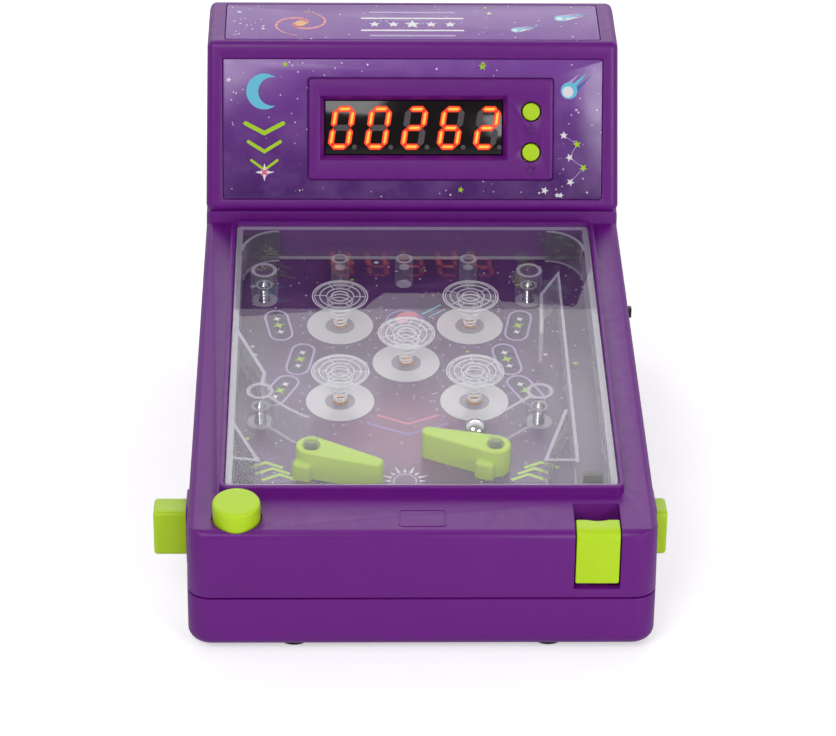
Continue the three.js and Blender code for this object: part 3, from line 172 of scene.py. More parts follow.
# Outlines: lists of (x, y), anticlockwise
def rounded(corners, steps=8):
    """The closed outline through corners (x, y, radius)."""
    points = []
    for i, (x, y, *rest) in enumerate(corners):
        radius = rest[0] if rest else 0
        here = Vector((x, y))
        before = (Vector(corners[i - 1][:2]) - here).normalized()
        after = (Vector(corners[(i + 1) % len(corners)][:2]) - here).normalized()
        if not radius:
            points.append((x, y))
            continue
        half = math.acos(max(-1, min(1, before.dot(after)))) / 2
        centre = here + (before + after).normalized() * (radius / math.sin(half))
        reach = radius / math.tan(half)
        start = here + before * reach - centre
        end = here + after * reach - centre
        sweep = math.atan2(start.x * end.y - start.y * end.x, start.dot(end))
        first = math.atan2(start.y, start.x)
        for k in range(steps + 1):
            angle = first + sweep * k / steps
            points.append((centre.x + radius * math.cos(angle), centre.y + radius * math.sin(angle)))
    return points


def panel(left, right, low, high, radius=0, steps=8):
    corners = ((left, low), (right, low), (right, high), (left, high))
    return rounded([(*corner, radius) for corner in corners], steps)


def disc(radius, x=0, y=0, sides=64):
    turn = 2 * math.pi / sides
    return [(x + radius * math.cos(k * turn), y + radius * math.sin(k * turn)) for k in range(sides)]


def link(length, root, tip, steps=20):
    """Two round ends joined by their tangents, from the origin along x."""
    tangent = math.acos((root - tip) / length)
    sweep = 2 * math.pi - 2 * tangent
    back = [tangent + sweep * k / steps for k in range(steps + 1)]
    front = [-tangent + 2 * tangent * k / steps for k in range(steps + 1)]
    return [(root * math.cos(a), root * math.sin(a)) for a in back] + [
        (length + tip * math.cos(a), tip * math.sin(a)) for a in front
    ]


def strip(points, thickness, round_ends=False):
    """A band of even thickness along a line of points, mitred at its bends."""
    line = [Vector(p) for p in points]
    runs = [(b - a).normalized() for a, b in zip(line, line[1:])]
    left, right = [], []
    for i, here in enumerate(line):
        before, after = runs[max(i - 1, 0)], runs[min(i, len(runs) - 1)]
        along = (before + after).normalized()
        move = Vector((-along.y, along.x)) * (thickness / 2 / max(before.dot(along), 0.3))
        left.append(here + move)
        right.append(here - move)
    ends = []
    for centre, direction in ((line[-1], runs[-1]), (line[0], -runs[0])):
        cap = []
        if round_ends:
            first = math.atan2(direction.y, direction.x) - math.pi / 2
            cap = [
                centre + Vector((math.cos(first + a), math.sin(first + a))) * (thickness / 2)
                for a in (math.pi * k / 6 for k in range(1, 6))
            ]
        ends.append(cap)
    return [tuple(p) for p in right + ends[0] + left[::-1] + ends[1]]


def inset(points, distance):
    """The outline moved inwards by a distance."""
    moved = []
    count = len(points)
    for i in range(count):
        here = Vector(points[i])
        incoming = (here - Vector(points[i - 1])).normalized()
        outgoing = (Vector(points[(i + 1) % count]) - here).normalized()
        normal = Vector((-(incoming.y + outgoing.y), incoming.x + outgoing.x)).normalized()
        lean = max(normal.dot(Vector((-incoming.y, incoming.x))), 0.3)
        moved.append(tuple(here + normal * (distance / lean)))
    return moved


def star(x, y, radius, points=5, waist=0.42, turn=0.0):
    corners = []
    for k in range(2 * points):
        reach = radius if k % 2 == 0 else radius * waist
        angle = turn + math.pi / 2 + k * math.pi / points
        corners.append((x + reach * math.cos(angle), y + reach * math.sin(angle)))
    return corners


# Solids: (points, faces) in millimetres
def loft(rings, closed=False):
    """A solid through rings of equal length: capped at its ends or, if closed, a hoop."""
    count = len(rings[0])
    points = [p for ring in rings for p in ring]
    faces = [] if closed else [tuple(range(count))[::-1], tuple(range(len(points) - count, len(points)))]
    for k in range(len(rings) if closed else len(rings) - 1):
        base, following = k * count, (k + 1) % len(rings) * count
        for i in range(count):
            j = (i + 1) % count
            faces.append((base + i, base + j, following + j, following + i))
    return points, faces


def prism(shape, low, high, edge=0.0, foot_edge=None, steps=4):
    """An outline raised from low to high, with its upper and lower edges rounded inwards."""
    foot_edge = edge if foot_edge is None else foot_edge
    rings = []
    turns = [math.pi / 2 * k / steps for k in range(steps + 1)]
    if foot_edge:
        rings += [(foot_edge * (1 - math.sin(a)), low + foot_edge * (1 - math.cos(a))) for a in turns]
    else:
        rings.append((0, low))
    if edge:
        rings += [(edge * (1 - math.cos(a)), high - edge * (1 - math.sin(a))) for a in turns]
    else:
        rings.append((0, high))
    return loft([[(x, y, z) for x, y in (inset(shape, d) if d else shape)] for d, z in rings])


def block(left, right, front, rear, low, high):
    return prism([(left, front), (right, front), (right, rear), (left, rear)], low, high)


def rod(radius, low, high, x=0.0, y=0.0, sides=40, edge=0.0):
    return prism(disc(radius, x, y, sides), low, high, edge, edge, 3)


def turned(profile, sides=48, x=0.0, y=0.0):
    """A revolved form from [radius, height] points, foot first, both ends on the axis."""
    points, rows = [], []
    for radius, height in profile:
        if radius == 0:
            rows.append([len(points)] * sides)
            points.append((x, y, height))
            continue
        rows.append(list(range(len(points), len(points) + sides)))
        points += [
            (x + radius * math.cos(a), y + radius * math.sin(a), height)
            for a in (2 * math.pi * k / sides for k in range(sides))
        ]
    faces = []
    for low, high in zip(rows, rows[1:]):
        for i in range(sides):
            j = (i + 1) % sides
            corners = []
            for corner in (low[i], low[j], high[j], high[i]):
                if corner not in corners:
                    corners.append(corner)
            if len(corners) > 2:
                faces.append(tuple(corners))
    return points, faces


def shoulder(radius, height, inward, rise, steps):
    """Profile points of a rounded shoulder, from the side at a height in to the top."""
    turns = [math.pi / 2 * k / steps for k in range(1, steps + 1)]
    return [(radius - inward * (1 - math.cos(a)), height + rise * math.sin(a)) for a in turns]


def tube(path, radius, sides=8):
    """A round bar along a path of points."""
    line = [Vector(p) for p in path]
    rings = []
    side = None
    for i, here in enumerate(line):
        ahead = (line[min(i + 1, len(line) - 1)] - line[max(i - 1, 0)]).normalized()
        if side is None:
            side = ahead.orthogonal().normalized()
        side = (side - ahead * side.dot(ahead)).normalized()
        other = ahead.cross(side)
        rings.append([
            tuple(here + (side * math.cos(a) + other * math.sin(a)) * radius)
            for a in (2 * math.pi * k / sides for k in range(sides))
        ])
    return loft(rings)


def coil(foot, top, height, turns, wire, dead=0.75):
    """A wound spring on z: its first and last part-turns lie flat, as ground ends do."""
    steps = int(turns * 22)
    path = []
    for k in range(steps + 1):
        t = k / steps
        angle = 2 * math.pi * turns * t
        climb = min(max((t * turns - dead) / (turns - 2 * dead), 0), 1)
        reach = foot + (top - foot) * climb
        path.append((reach * math.cos(angle), reach * math.sin(angle), wire / 2 + climb * (height - wire)))
    return tube(path, wire / 2)


def placed(matrix, solid):
    points, faces = solid
    return [tuple(matrix @ Vector(p)) for p in points], faces


def merged(*solids):
    points, faces = [], []
    for more_points, more_faces in solids:
        base = len(points)
        points += more_points
        faces += [tuple(base + i for i in face) for face in more_faces]
    return points, faces


def mirrored(solid):
    points, faces = solid
    return [(-x, y, z) for x, y, z in points], [face[::-1] for face in faces]


def draft(z):
    """The share by which the side walls lean in at a height, as the mould needs."""
    return DRAFT * (z - PARTING) / (HEAD_TOP - PARTING)


def half_width(z):
    return HALF * (1 - draft(z))


# Mesh work
def added(name, data):
    """A new object in the scene."""
    obj = bpy.data.objects.new(name, data)
    bpy.context.scene.collection.objects.link(obj)
    return obj


def mesh_object(name, solid):
    points, faces = solid
    mesh = bpy.data.meshes.new(name)
    mesh.from_pydata(points, [], faces)
    made = bmesh.new()
    made.from_mesh(mesh)
    bmesh.ops.recalc_face_normals(made, faces=made.faces)
    made.to_mesh(mesh)
    made.free()
    return added(name, mesh)


def applied(obj):
    """The mesh with its modifiers applied."""
    depsgraph = bpy.context.evaluated_depsgraph_get()
    mesh = bpy.data.meshes.new_from_object(obj.evaluated_get(depsgraph))
    obj.modifiers.clear()
    old, obj.data = obj.data, mesh
    bpy.data.meshes.remove(old)
    return obj


def combined(obj, operation, *solids):
    """One boolean after another on an object in millimetres."""
    tools = []
    for solid in solids:
        tool = mesh_object("tool", solid) if isinstance(solid, tuple) else solid
        modifier = obj.modifiers.new("work", "BOOLEAN")
        modifier.operation = operation
        modifier.solver = "MANIFOLD"
        modifier.object = tool
        tools.append(tool)
    applied(obj)
    for tool in tools:
        mesh = tool.data
        bpy.data.objects.remove(tool)
        bpy.data.meshes.remove(mesh)
    if not obj.data.polygons:
        raise RuntimeError("the boolean left nothing of " + obj.name)
    return obj


def joined(obj, *solids):
    return combined(obj, "UNION", *solids)


def cut(obj, *solids):
    return combined(obj, "DIFFERENCE", *solids)


def common(obj, *solids):
    return combined(obj, "INTERSECT", *solids)


def softened(obj, width, segments=2, angle=38):
    """Cleans the faces and rounds the sharp edges of an object in millimetres."""
    made = bmesh.new()
    made.from_mesh(obj.data)
    bmesh.ops.remove_doubles(made, verts=made.verts, dist=0.002)
    bmesh.ops.dissolve_degenerate(made, edges=made.edges, dist=0.001)
    bmesh.ops.dissolve_limit(
        made, angle_limit=math.radians(0.4), verts=made.verts, edges=made.edges, delimit={"NORMAL"}
    )
    made.to_mesh(obj.data)
    made.free()
    if width:
        modifier = obj.modifiers.new("edges", "BEVEL")
        modifier.width = width
        modifier.segments = segments
        modifier.limit_method = "ANGLE"
        modifier.angle_limit = math.radians(angle)
        modifier.use_clamp_overlap = False
        modifier.miter_outer = "MITER_ARC"
        modifier.harden_normals = False
        applied(obj)
    return obj


def piece(name, form, body, look, replaces=(), place=SHIFT):
    """Puts a form, in millimetres, in its place as a finished piece that rides on a body, if one is named.

    The look is a finish's name, or a list of materials for a form whose faces have their own.
    """
    obj = mesh_object(name, form) if isinstance(form, tuple) else form
    obj.name = name
    obj.data.name = name
    obj.data.transform(Matrix.Scale(MM, 4) @ place)
    several = isinstance(look, list)
    owners = [polygon.material_index if several else 0 for polygon in obj.data.polygons]
    obj.data.materials.clear()
    for coat in look if several else [finish(look)]:
        obj.data.materials.append(coat)
    for polygon, owner in zip(obj.data.polygons, owners):
        polygon.use_smooth = True
        polygon.material_index = owner
    obj.data.set_sharp_from_angle(angle=SMOOTH_ANGLE)
    if body:
        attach(obj, body)
    if replaces:
        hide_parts(*replaces)
    return obj


def sprung(name, form, node, foot_body, far_body, length, place):
    """A spring put in place as a finished piece on no body, with its placing baked into its points."""
    wound = piece(name, form, None, "spring_wire", [node], place=place)
    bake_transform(wound)


def from_node(node, width, angle=38):
    """A copy of a frame node's form, in millimetres, with its edges rounded."""
    mesh = frame["nodes"][node].data.copy()
    mesh.materials.clear()
    mesh.transform(Matrix.Scale(1 / MM, 4))
    return softened(added(node + "_dressed", mesh), width, 2, angle)


class Print:
    """Flat ink shapes on a sheet, each layer a hair over the one before."""

    def __init__(self, place, height):
        self.place, self.height = place, height
        self.points, self.faces, self.inks, self.owner = [], [], [], []

    def patch(self, outline, ink, layer=0):
        if ink not in self.inks:
            self.inks.append(ink)
        base = len(self.points)
        z = self.height + 0.015 * layer
        self.points += [(x, y, z) for x, y in outline]
        self.faces.append(tuple(range(base, base + len(outline))))
        self.owner.append(self.inks.index(ink))

    def ring(self, x, y, outer, inner, ink, layer=0, first=0.0, sweep=2 * math.pi, sides=64):
        count = max(int(sides * abs(sweep) / (2 * math.pi)), 3)
        angles = [first + sweep * k / count for k in range(count + 1)]
        for a, b in zip(angles, angles[1:]):
            self.patch([
                (x + outer * math.cos(a), y + outer * math.sin(a)),
                (x + outer * math.cos(b), y + outer * math.sin(b)),
                (x + inner * math.cos(b), y + inner * math.sin(b)),
                (x + inner * math.cos(a), y + inner * math.sin(a)),
            ], ink, layer)

    def frame(self, outline, thickness, ink, layer=0):
        inner = inset(outline, thickness)
        for i in range(len(outline)):
            self.patch([outline[i - 1], outline[i], inner[i], inner[i - 1]], ink, layer)

    def piece(self, name, body, slot):
        mesh = bpy.data.meshes.new(name)
        mesh.from_pydata(self.points, [], self.faces)
        for polygon, owner in zip(mesh.polygons, self.owner):
            polygon.material_index = owner
        made = bmesh.new()
        made.from_mesh(mesh)
        for face in made.faces:
            if face.normal.z < 0:
                face.normal_flip()
        made.to_mesh(mesh)
        made.free()
        return piece(name, added(name, mesh), body, self.inks, place=SHIFT @ self.place)


# Finishes
def math_node(nodes, links, operation, *values):
    """The result of a calculation with sockets and plain numbers."""
    node = nodes.new("ShaderNodeMath")
    node.operation = operation
    for socket, value in zip(node.inputs, values):
        if isinstance(value, float):
            socket.default_value = value
        else:
            links.new(value, socket)
    return node.outputs[0]


def linear(colour):
    return tuple(c / 12.92 if c <= 0.04045 else ((c + 0.055) / 1.055) ** 2.4 for c in colour)


def rgb(red, green, blue):
    return linear((red / 255, green / 255, blue / 255))


class Finish:
    """A node material that starts from one Principled shader and the piece's own coordinates."""

    def __init__(self, name):
        self.material = bpy.data.materials.new(name)
        self.material.use_nodes = True
        self.nodes = self.material.node_tree.nodes
        self.links = self.material.node_tree.links
        self.nodes.clear()
        self.output = self.nodes.new("ShaderNodeOutputMaterial")
        self.shader = self.nodes.new("ShaderNodeBsdfPrincipled")
        self.link(self.shader.outputs[0], self.output.inputs["Surface"])
        own = self.nodes.new("ShaderNodeTexCoord")
        self.place, self.direction = own.outputs["Object"], own.outputs["Normal"]

    def link(self, source, target):
        self.links.new(source, target)

    def set(self, **values):
        for name, value in values.items():
            self.shader.inputs[name.replace("_", " ")].default_value = value
        return self

    def noise(self, size, detail=2.0, rough=0.5):
        """Noise whose grains are about size millimetres across."""
        node = self.nodes.new("ShaderNodeTexNoise")
        node.inputs["Scale"].default_value = 1 / (size * MM)
        node.inputs["Detail"].default_value = detail
        node.inputs["Roughness"].default_value = rough
        self.link(self.place, node.inputs["Vector"])
        return node.outputs["Fac"]

    def spread(self, value, low, high, start=0.3, end=0.7):
        node = self.nodes.new("ShaderNodeMapRange")
        node.inputs["From Min"].default_value = start
        node.inputs["From Max"].default_value = end
        node.inputs["To Min"].default_value = low
        node.inputs["To Max"].default_value = high
        self.link(value, node.inputs["Value"])
        return node.outputs["Result"]

    def mix(self, factor, first, second):
        node = self.nodes.new("ShaderNodeMix")
        node.data_type = "RGBA"
        self.link(factor, node.inputs["Factor"])
        for socket, value in ((node.inputs[6], first), (node.inputs[7], second)):
            if isinstance(value, tuple):
                socket.default_value = (*value, 1)
            else:
                self.link(value, socket)
        return node.outputs[2]

    def result(self, operation, *values):
        return math_node(self.nodes, self.links, operation, *values)

    def blend(self, share, first, second):
        node = self.nodes.new("ShaderNodeMixShader")
        self.link(share, node.inputs[0])
        self.link(first, node.inputs[1])
        self.link(second, node.inputs[2])
        return node.outputs[0]

    def axis(self, letter):
        node = self.nodes.new("ShaderNodeSeparateXYZ")
        self.link(self.place, node.inputs[0])
        return node.outputs[letter]

    def colour(self, socket):
        self.link(socket, self.shader.inputs["Base Color"])
        return self

    def roughness(self, value, low, high):
        self.link(self.spread(value, low, high), self.shader.inputs["Roughness"])
        return self

    def flecks(self, size, base):
        """Pale dots about size millimetres apart, over a base colour."""
        dots = self.nodes.new("ShaderNodeTexVoronoi")
        dots.inputs["Scale"].default_value = 1 / (size * MM)
        self.link(self.place, dots.inputs["Vector"])
        return self.mix(self.spread(dots.outputs["Distance"], 1, 0, 0.05, 0.11), base, rgb(226, 214, 236))

    def bump(self, value, depth, strength=0.5):
        node = self.nodes.new("ShaderNodeBump")
        node.inputs["Strength"].default_value = strength
        node.inputs["Distance"].default_value = depth * MM
        self.link(value, node.inputs["Height"])
        self.link(node.outputs[0], self.shader.inputs["Normal"])
        return self


FINISHES = {}


def finish(name):
    """The finish of that name, made the first time it is asked for."""
    if name not in FINISHES:
        FINISHES[name] = RECIPES[name](name)
    return FINISHES[name]


def shade(colour, share):
    return tuple(min(c * share, 1) for c in colour)


def recipe(fill_in):
    """Keeps a function's settings, and fills in the finish when it is first asked for by name."""
    def settings(*values, **named):
        def make(name):
            made = Finish(name)
            fill_in(made, *values, **named)
            return made.material

        return make

    return settings


@recipe
def moulded(made, colour_of, rough=(0.32, 0.44), variation=0.06, depth=0.012, specular=0.4):
    colour = colour_of()
    grain = bpy.context.scene.pinball_sizes.grain / MM
    cloud = made.noise(14, 3)
    made.colour(made.mix(cloud, shade(colour, 1 - variation), shade(colour, 1 + variation)))
    made.roughness(made.noise(3.0, 4, 0.6), *rough)
    made.bump(made.noise(grain, 3, 0.6), depth)
    made.set(Specular_IOR_Level=specular)


def colours():
    return bpy.context.scene.pinball_colours


@recipe
def clear(made, tone, haze=0.02, flat=0.0, rim=0.0, frost=(222, 216, 232)):
    """Clear plastic with thin walls and an even light frost, with a painted sheen on faces turned up from the
    deck and a painted glint where it is seen edge on.

    Lamps shine through it, so it throws only a faint shadow.
    """
    pale = rgb(*frost)
    made.colour(made.mix(made.noise(6, 3), shade(pale, 0.9), pale))
    made.roughness(made.noise(4, 3), 0.2, 0.35)
    made.bump(made.noise(9, 2), 0.003)
    through = made.nodes.new("ShaderNodeBsdfTransparent")
    through.inputs[0].default_value = (*tone, 1)
    sheen = made.nodes.new("ShaderNodeBsdfGlossy")
    sheen.inputs["Roughness"].default_value = 0.02
    facing = made.nodes.new("ShaderNodeLayerWeight")
    facing.inputs["Blend"].default_value = 0.5
    edge = made.result("POWER", facing.outputs["Facing"], 5.0)
    edge = made.result("MULTIPLY_ADD", edge, 0.96, 0.04)
    skin = made.blend(edge, through.outputs[0], sheen.outputs[0])
    turn = made.nodes.new("ShaderNodeVectorMath")
    turn.operation = "DOT_PRODUCT"
    made.link(made.direction, turn.inputs[0])
    turn.inputs[1].default_value = (0, -math.sin(SLOPE), math.cos(SLOPE))
    # Painted sheen and glint: faces turned up from the deck take more of the pale colour (flat), and faces
    # seen edge on take more of it too (rim).
    level = made.spread(turn.outputs["Value"], haze, haze + flat, 0.75, 0.95)
    glint = made.result("MULTIPLY_ADD", made.result("POWER", facing.outputs["Facing"], 4.0), rim, 0.0)
    frost_and_painted_sheen = made.result("ADD", level, glint)
    body = made.blend(frost_and_painted_sheen, skin, made.shader.outputs[0])
    path = made.nodes.new("ShaderNodeLightPath")
    faint = made.nodes.new("ShaderNodeBsdfTransparent")
    faint.inputs[0].default_value = (*shade(tone, 0.97), 1)
    whole = made.blend(path.outputs["Is Shadow Ray"], body, faint.outputs[0])
    made.link(whole, made.output.inputs["Surface"])


@recipe
def metal(made, tone, rough):
    made.set(Metallic=1.0)
    made.colour(made.mix(made.noise(2.5, 3), shade(tone, 0.88), tone))
    made.roughness(made.noise(0.8, 3, 0.6), *rough)
    made.bump(made.noise(0.3, 2), 0.004, 0.3)


@recipe
def ink(made, tone, rough=(0.16, 0.26)):
    made.colour(made.mix(made.noise(0.5, 2), shade(tone, 0.93), tone))
    made.roughness(made.noise(6, 3), *rough)
    made.bump(made.noise(5, 2), 0.004, 0.3)


def printed(made, base, cloud, share, haze, fleck):
    """Clouds, flecks, gloss and grain over the base colour of a printed sheet."""
    clouds = made.spread(made.noise(cloud, 4, 0.6), 0, share, 0.42, 0.72)
    made.colour(made.flecks(fleck, made.mix(clouds, base, haze)))
    made.roughness(made.noise(7, 3), 0.16, 0.28)
    made.bump(made.noise(6, 2), 0.005, 0.3)


@recipe
def graded(made, low_colour, high_colour, axis, low, high, fleck):
    """A printed sheet that fades from one colour to another along an axis, with fine print flecks."""
    climb = made.spread(made.axis(axis), 0, 1, low * MM, high * MM)
    base = made.mix(climb, low_colour(), high_colour())
    printed(made, base, 16, 0.35, rgb(150, 104, 178), fleck)


@recipe
def glowing(made, colour_of, strength):
    colour = colour_of()
    level = made.mix(made.noise(1.2, 2), shade(colour, 0.86), colour)
    made.link(level, made.shader.inputs["Emission Color"])
    made.colour(made.mix(made.noise(1.2, 2), shade(colour, 0.3), shade(colour, 0.4)))
    made.set(Emission_Strength=strength)
    made.roughness(made.noise(2, 2), 0.3, 0.4)


@recipe
def board_finish(made):
    weave = made.nodes.new("ShaderNodeTexBrick")
    weave.inputs["Scale"].default_value = 160
    weave.inputs["Mortar Size"].default_value = 0.04
    weave.inputs["Color1"].default_value = (*rgb(28, 84, 48), 1)
    weave.inputs["Color2"].default_value = (*rgb(34, 96, 56), 1)
    weave.inputs["Mortar"].default_value = (*rgb(70, 128, 74), 1)
    made.link(made.place, weave.inputs["Vector"])
    made.colour(weave.outputs["Color"])
    made.roughness(made.noise(2, 3), 0.3, 0.5)
    made.bump(made.noise(0.5, 2), 0.01)


@recipe
def sleeve_finish(made):
    bands = made.nodes.new("ShaderNodeTexWave")
    bands.inputs["Scale"].default_value = 12
    made.link(made.place, bands.inputs["Vector"])
    made.colour(made.mix(bands.outputs["Fac"], rgb(92, 96, 104), rgb(168, 172, 178)))
    made.set(Metallic=0.6)
    made.roughness(made.noise(2, 3), 0.25, 0.4)


@recipe
def field_finish(made):
    """The playfield print: a fade up the deck, a warm patch in the middle and a few flecks."""
    climb = made.spread(made.axis("Y"), 0, 1, -92 * MM, 60 * MM)
    base = made.mix(climb, tone("field_low")(), tone("field_high")())
    away = made.nodes.new("ShaderNodeVectorMath")
    away.operation = "DISTANCE"
    made.link(made.place, away.inputs[0])
    away.inputs[1].default_value = (0, -45 * MM, 41 * MM)
    warm = made.spread(away.outputs["Value"], 0.85, 0, 6 * MM, 36 * MM)
    base = made.mix(warm, base, tone("field_warm")())
    printed(made, base, 18, 0.22, rgb(134, 84, 154), 4.2)


def tone(name):
    return lambda: linear(getattr(colours(), name))


RECIPES = {
    "purple_moulding": moulded(tone("housing")),
    "lime_moulding": moulded(tone("lime"), (0.3, 0.42), 0.05, 0.008),
    "clear_moulding": clear((0.985, 0.985, 0.99), 0.01),
    # Ribs, caps and cap ridges carry a painted sheen on faces turned up and a painted glint on edges seen
    # edge on. The ridges' whiteness is frost plus painted sheen.
    "clear_ribs": clear((0.985, 0.985, 0.99), 0.05, 0.40, 0.5),
    "clear_cap": clear((0.985, 0.985, 0.99), 0.03, 0.0, 0.15),
    "clear_ridge": clear((0.985, 0.985, 0.99), 0.35, 0.35, 0.3, (240, 238, 244)),
    "black_moulding": moulded(lambda: rgb(22, 20, 26), (0.35, 0.5)),
    "display_window": moulded(lambda: rgb(16, 9, 11), (0.08, 0.14), 0.1, 0.002),
    "steel": metal(rgb(228, 228, 232), (0.1, 0.2)),
    # The spring wire is near-white plastic rather than metal: its brightness is a painted sheen standing in
    # for the steel's reflections.
    "spring_wire": moulded(lambda: rgb(236, 236, 240), (0.2, 0.3), 0.04, 0.004, 1.0),
    "dull_steel": metal(rgb(172, 172, 178), (0.28, 0.42)),
    "mirror_steel": metal(rgb(222, 222, 226), (0.04, 0.1)),
    "copper": metal(rgb(214, 150, 92), (0.2, 0.34)),
    "face_sheet": graded(tone("sheet_low"), tone("sheet_high"), "Z", 76, 124, 3.2),
    "top_sheet": graded(tone("sheet_high"), tone("sheet_high"), "Y", 80, 106, 3.6),
    "field_sheet": field_finish(),
    "field_plate": moulded(tone("field_low")),
    "white_ink": ink(rgb(236, 234, 240)),
    "ring_ink": ink(linear((0.84, 0.83, 0.85)), (0.12, 0.2)),
    "core_ink": ink(rgb(140, 126, 148)),
    "lime_ink": ink(rgb(176, 214, 40)),
    "violet_ink": ink(rgb(150, 110, 186)),
    "pale_ink": ink(rgb(186, 160, 210)),
    "deep_ink": ink(rgb(58, 22, 84)),
    "cyan_ink": ink(rgb(110, 200, 228)),
    "blue_ink": ink(rgb(60, 110, 190)),
    "rose_ink": ink(rgb(224, 116, 150)),
    "amber_ink": ink(rgb(236, 170, 90)),
    # The button marks are the housing colour darkened: painted shade standing in for the relief of the
    # moulded symbols.
    "mark_painted_shade": moulded(lambda: shade(linear(colours().housing), 0.45)),
    "lit_segment": glowing(tone("lit"), 1.15),
    "lit_core": glowing(lambda: rgb(255, 176, 64), 1.25),
    "unlit_segment": moulded(tone("unlit"), (0.3, 0.4), 0.08, 0.003),
    "board": board_finish(),
    "rubber": moulded(lambda: rgb(34, 30, 38), (0.6, 0.8), 0.1, 0.03),
    "sleeve": sleeve_finish(),
}

NODE_FINISHES = {
    "purple_plastic": "purple_moulding",
    "bright_purple_plastic": "purple_moulding",
    "lime_plastic": "lime_moulding",
    "clear_plastic": "clear_moulding",
    "printed_sheet": "field_plate",
    "steel": "dull_steel",
    "brass": "copper",
    "dark_plastic": "black_moulding",
    "circuit_board": "board",
    "rubber": "rubber",
    "cell_sleeve": "sleeve",
}


# Stage
def floor_finish():
    """A pale floor that reads as white to the camera and still takes the game's shadow."""
    made = Finish("pale_floor")
    made.colour(made.mix(made.noise(60, 3), rgb(243, 243, 244), rgb(247, 247, 248)))
    made.roughness(made.noise(20, 3), 0.55, 0.7)
    made.set(Specular_IOR_Level=0.25)
    lift = made.nodes.new("ShaderNodeEmission")
    lift.inputs["Strength"].default_value = 0.45
    lifted = made.nodes.new("ShaderNodeAddShader")
    made.link(made.shader.outputs[0], lifted.inputs[0])
    made.link(lift.outputs[0], lifted.inputs[1])
    glow = made.nodes.new("ShaderNodeEmission")
    glow.inputs["Strength"].default_value = 0.5
    path = made.nodes.new("ShaderNodeLightPath")
    seen = made.result("MAXIMUM", path.outputs["Is Glossy Ray"], path.outputs["Is Transmission Ray"])
    plain = made.blend(path.outputs["Is Camera Ray"], made.shader.outputs[0], lifted.outputs[0])
    made.link(
        made.blend(made.result("MULTIPLY", seen, 0.6), plain, glow.outputs[0]),
        made.output.inputs["Surface"],
    )
    return made.material


def studio_world():
    """White behind the game. Reflections find white at the back and sides and a dim room in front."""
    world = bpy.data.worlds.new("studio")
    world.use_nodes = True
    nodes, links = world.node_tree.nodes, world.node_tree.links
    nodes.clear()

    def result(operation, *values):
        return math_node(nodes, links, operation, *values)

    light = nodes.new("ShaderNodeBackground")
    white = nodes.new("ShaderNodeBackground")
    path = nodes.new("ShaderNodeLightPath")
    toward = nodes.new("ShaderNodeSeparateXYZ")
    links.new(nodes.new("ShaderNodeTexCoord").outputs["Generated"], toward.inputs[0])
    room = nodes.new("ShaderNodeMapRange")
    room.interpolation_type = "SMOOTHSTEP"
    for name, value in (("From Min", -0.35), ("From Max", 0.25), ("To Min", 0.22), ("To Max", 1.0)):
        room.inputs[name].default_value = value
    links.new(toward.outputs["Y"], room.inputs["Value"])
    mirrored_share = result("MULTIPLY", path.outputs["Is Glossy Ray"], room.outputs["Result"])
    straight = result("MAXIMUM", path.outputs["Is Camera Ray"], path.outputs["Is Transmission Ray"])
    seen = result("MAXIMUM", mirrored_share, straight)
    dim = result("SUBTRACT", 1.0, path.outputs["Is Glossy Ray"])
    plain = result("MULTIPLY", dim, ROOM_LIGHT)
    links.new(result("MULTIPLY", plain, result("SUBTRACT", 1.0, straight)), light.inputs["Strength"])
    links.new(seen, white.inputs["Strength"])
    both = nodes.new("ShaderNodeAddShader")
    links.new(light.outputs[0], both.inputs[0])
    links.new(white.outputs[0], both.inputs[1])
    for background in (light, white):
        background.inputs["Color"].default_value = (1, 1, 1, 1)
    links.new(both.outputs[0], nodes.new("ShaderNodeOutputWorld").inputs[0])
    bpy.context.scene.world = world


def softbox(name, place, target, size, power):
    lamp = bpy.data.lights.new(name, "AREA")
    lamp.shape = "RECTANGLE"
    lamp.size, lamp.size_y = size
    lamp.energy = power
    obj = added(name, lamp)
    obj.location = place
    obj.rotation_euler = (Vector(target) - Vector(place)).to_track_quat("-Z", "Y").to_euler()


def photo_camera():
    """The camera, in front of the game and above it, at the fitted viewpoint."""
    eye = Vector((-22.968, -949.617, 520.660)) * MM
    target = Vector((2.18, -69.27, 77.47)) * MM
    forward = (target - eye).normalized()
    right = forward.cross(Vector((0, 0, 1))).normalized()
    up = right.cross(forward)
    roll = math.radians(0.745)
    across = right * math.cos(roll) + up * math.sin(roll)
    upward = up * math.cos(roll) - right * math.sin(roll)
    data = bpy.data.cameras.new("photo_camera")
    data.sensor_width = SENSOR
    data.lens = FOCAL_PIXELS * SENSOR / PICTURE_WIDTH
    data.clip_start, data.clip_end = 0.05, 20
    obj = added("photo_camera", data)
    turn = Matrix((across, upward, -forward)).transposed().to_4x4()
    turn.translation = eye
    obj.matrix_world = turn
    bpy.context.scene.camera = obj


class PINBALL_OT_stage(bpy.types.Operator):
    """Sets the floor, the studio light and the camera"""

    bl_idname = "pinball.stage"
    bl_label = "Stage"

    def execute(self, context):
        context.scene.view_settings.view_transform = "Standard"
        studio_world()
        floor = mesh_object("floor", loft([
            [(x, y, z) for x, y in panel(-3, 3, -3, 3, 0.4)] for z in (-0.01, 0)
        ]))
        floor.data.materials.append(floor_finish())
        softbox("key", (-0.5, -1.0, 0.95), (0, 0, 0.05), (0.7, 0.5), 6.6)
        softbox("fill", (0.7, -1.0, 0.45), (0, 0, 0.05), (0.5, 0.4), 4.4)
        softbox("back", (0.0, 0.86, 0.93), (0, 0, 0.05), (1.3, 0.75), 4.6)
        photo_camera()
        return {"FINISHED"}


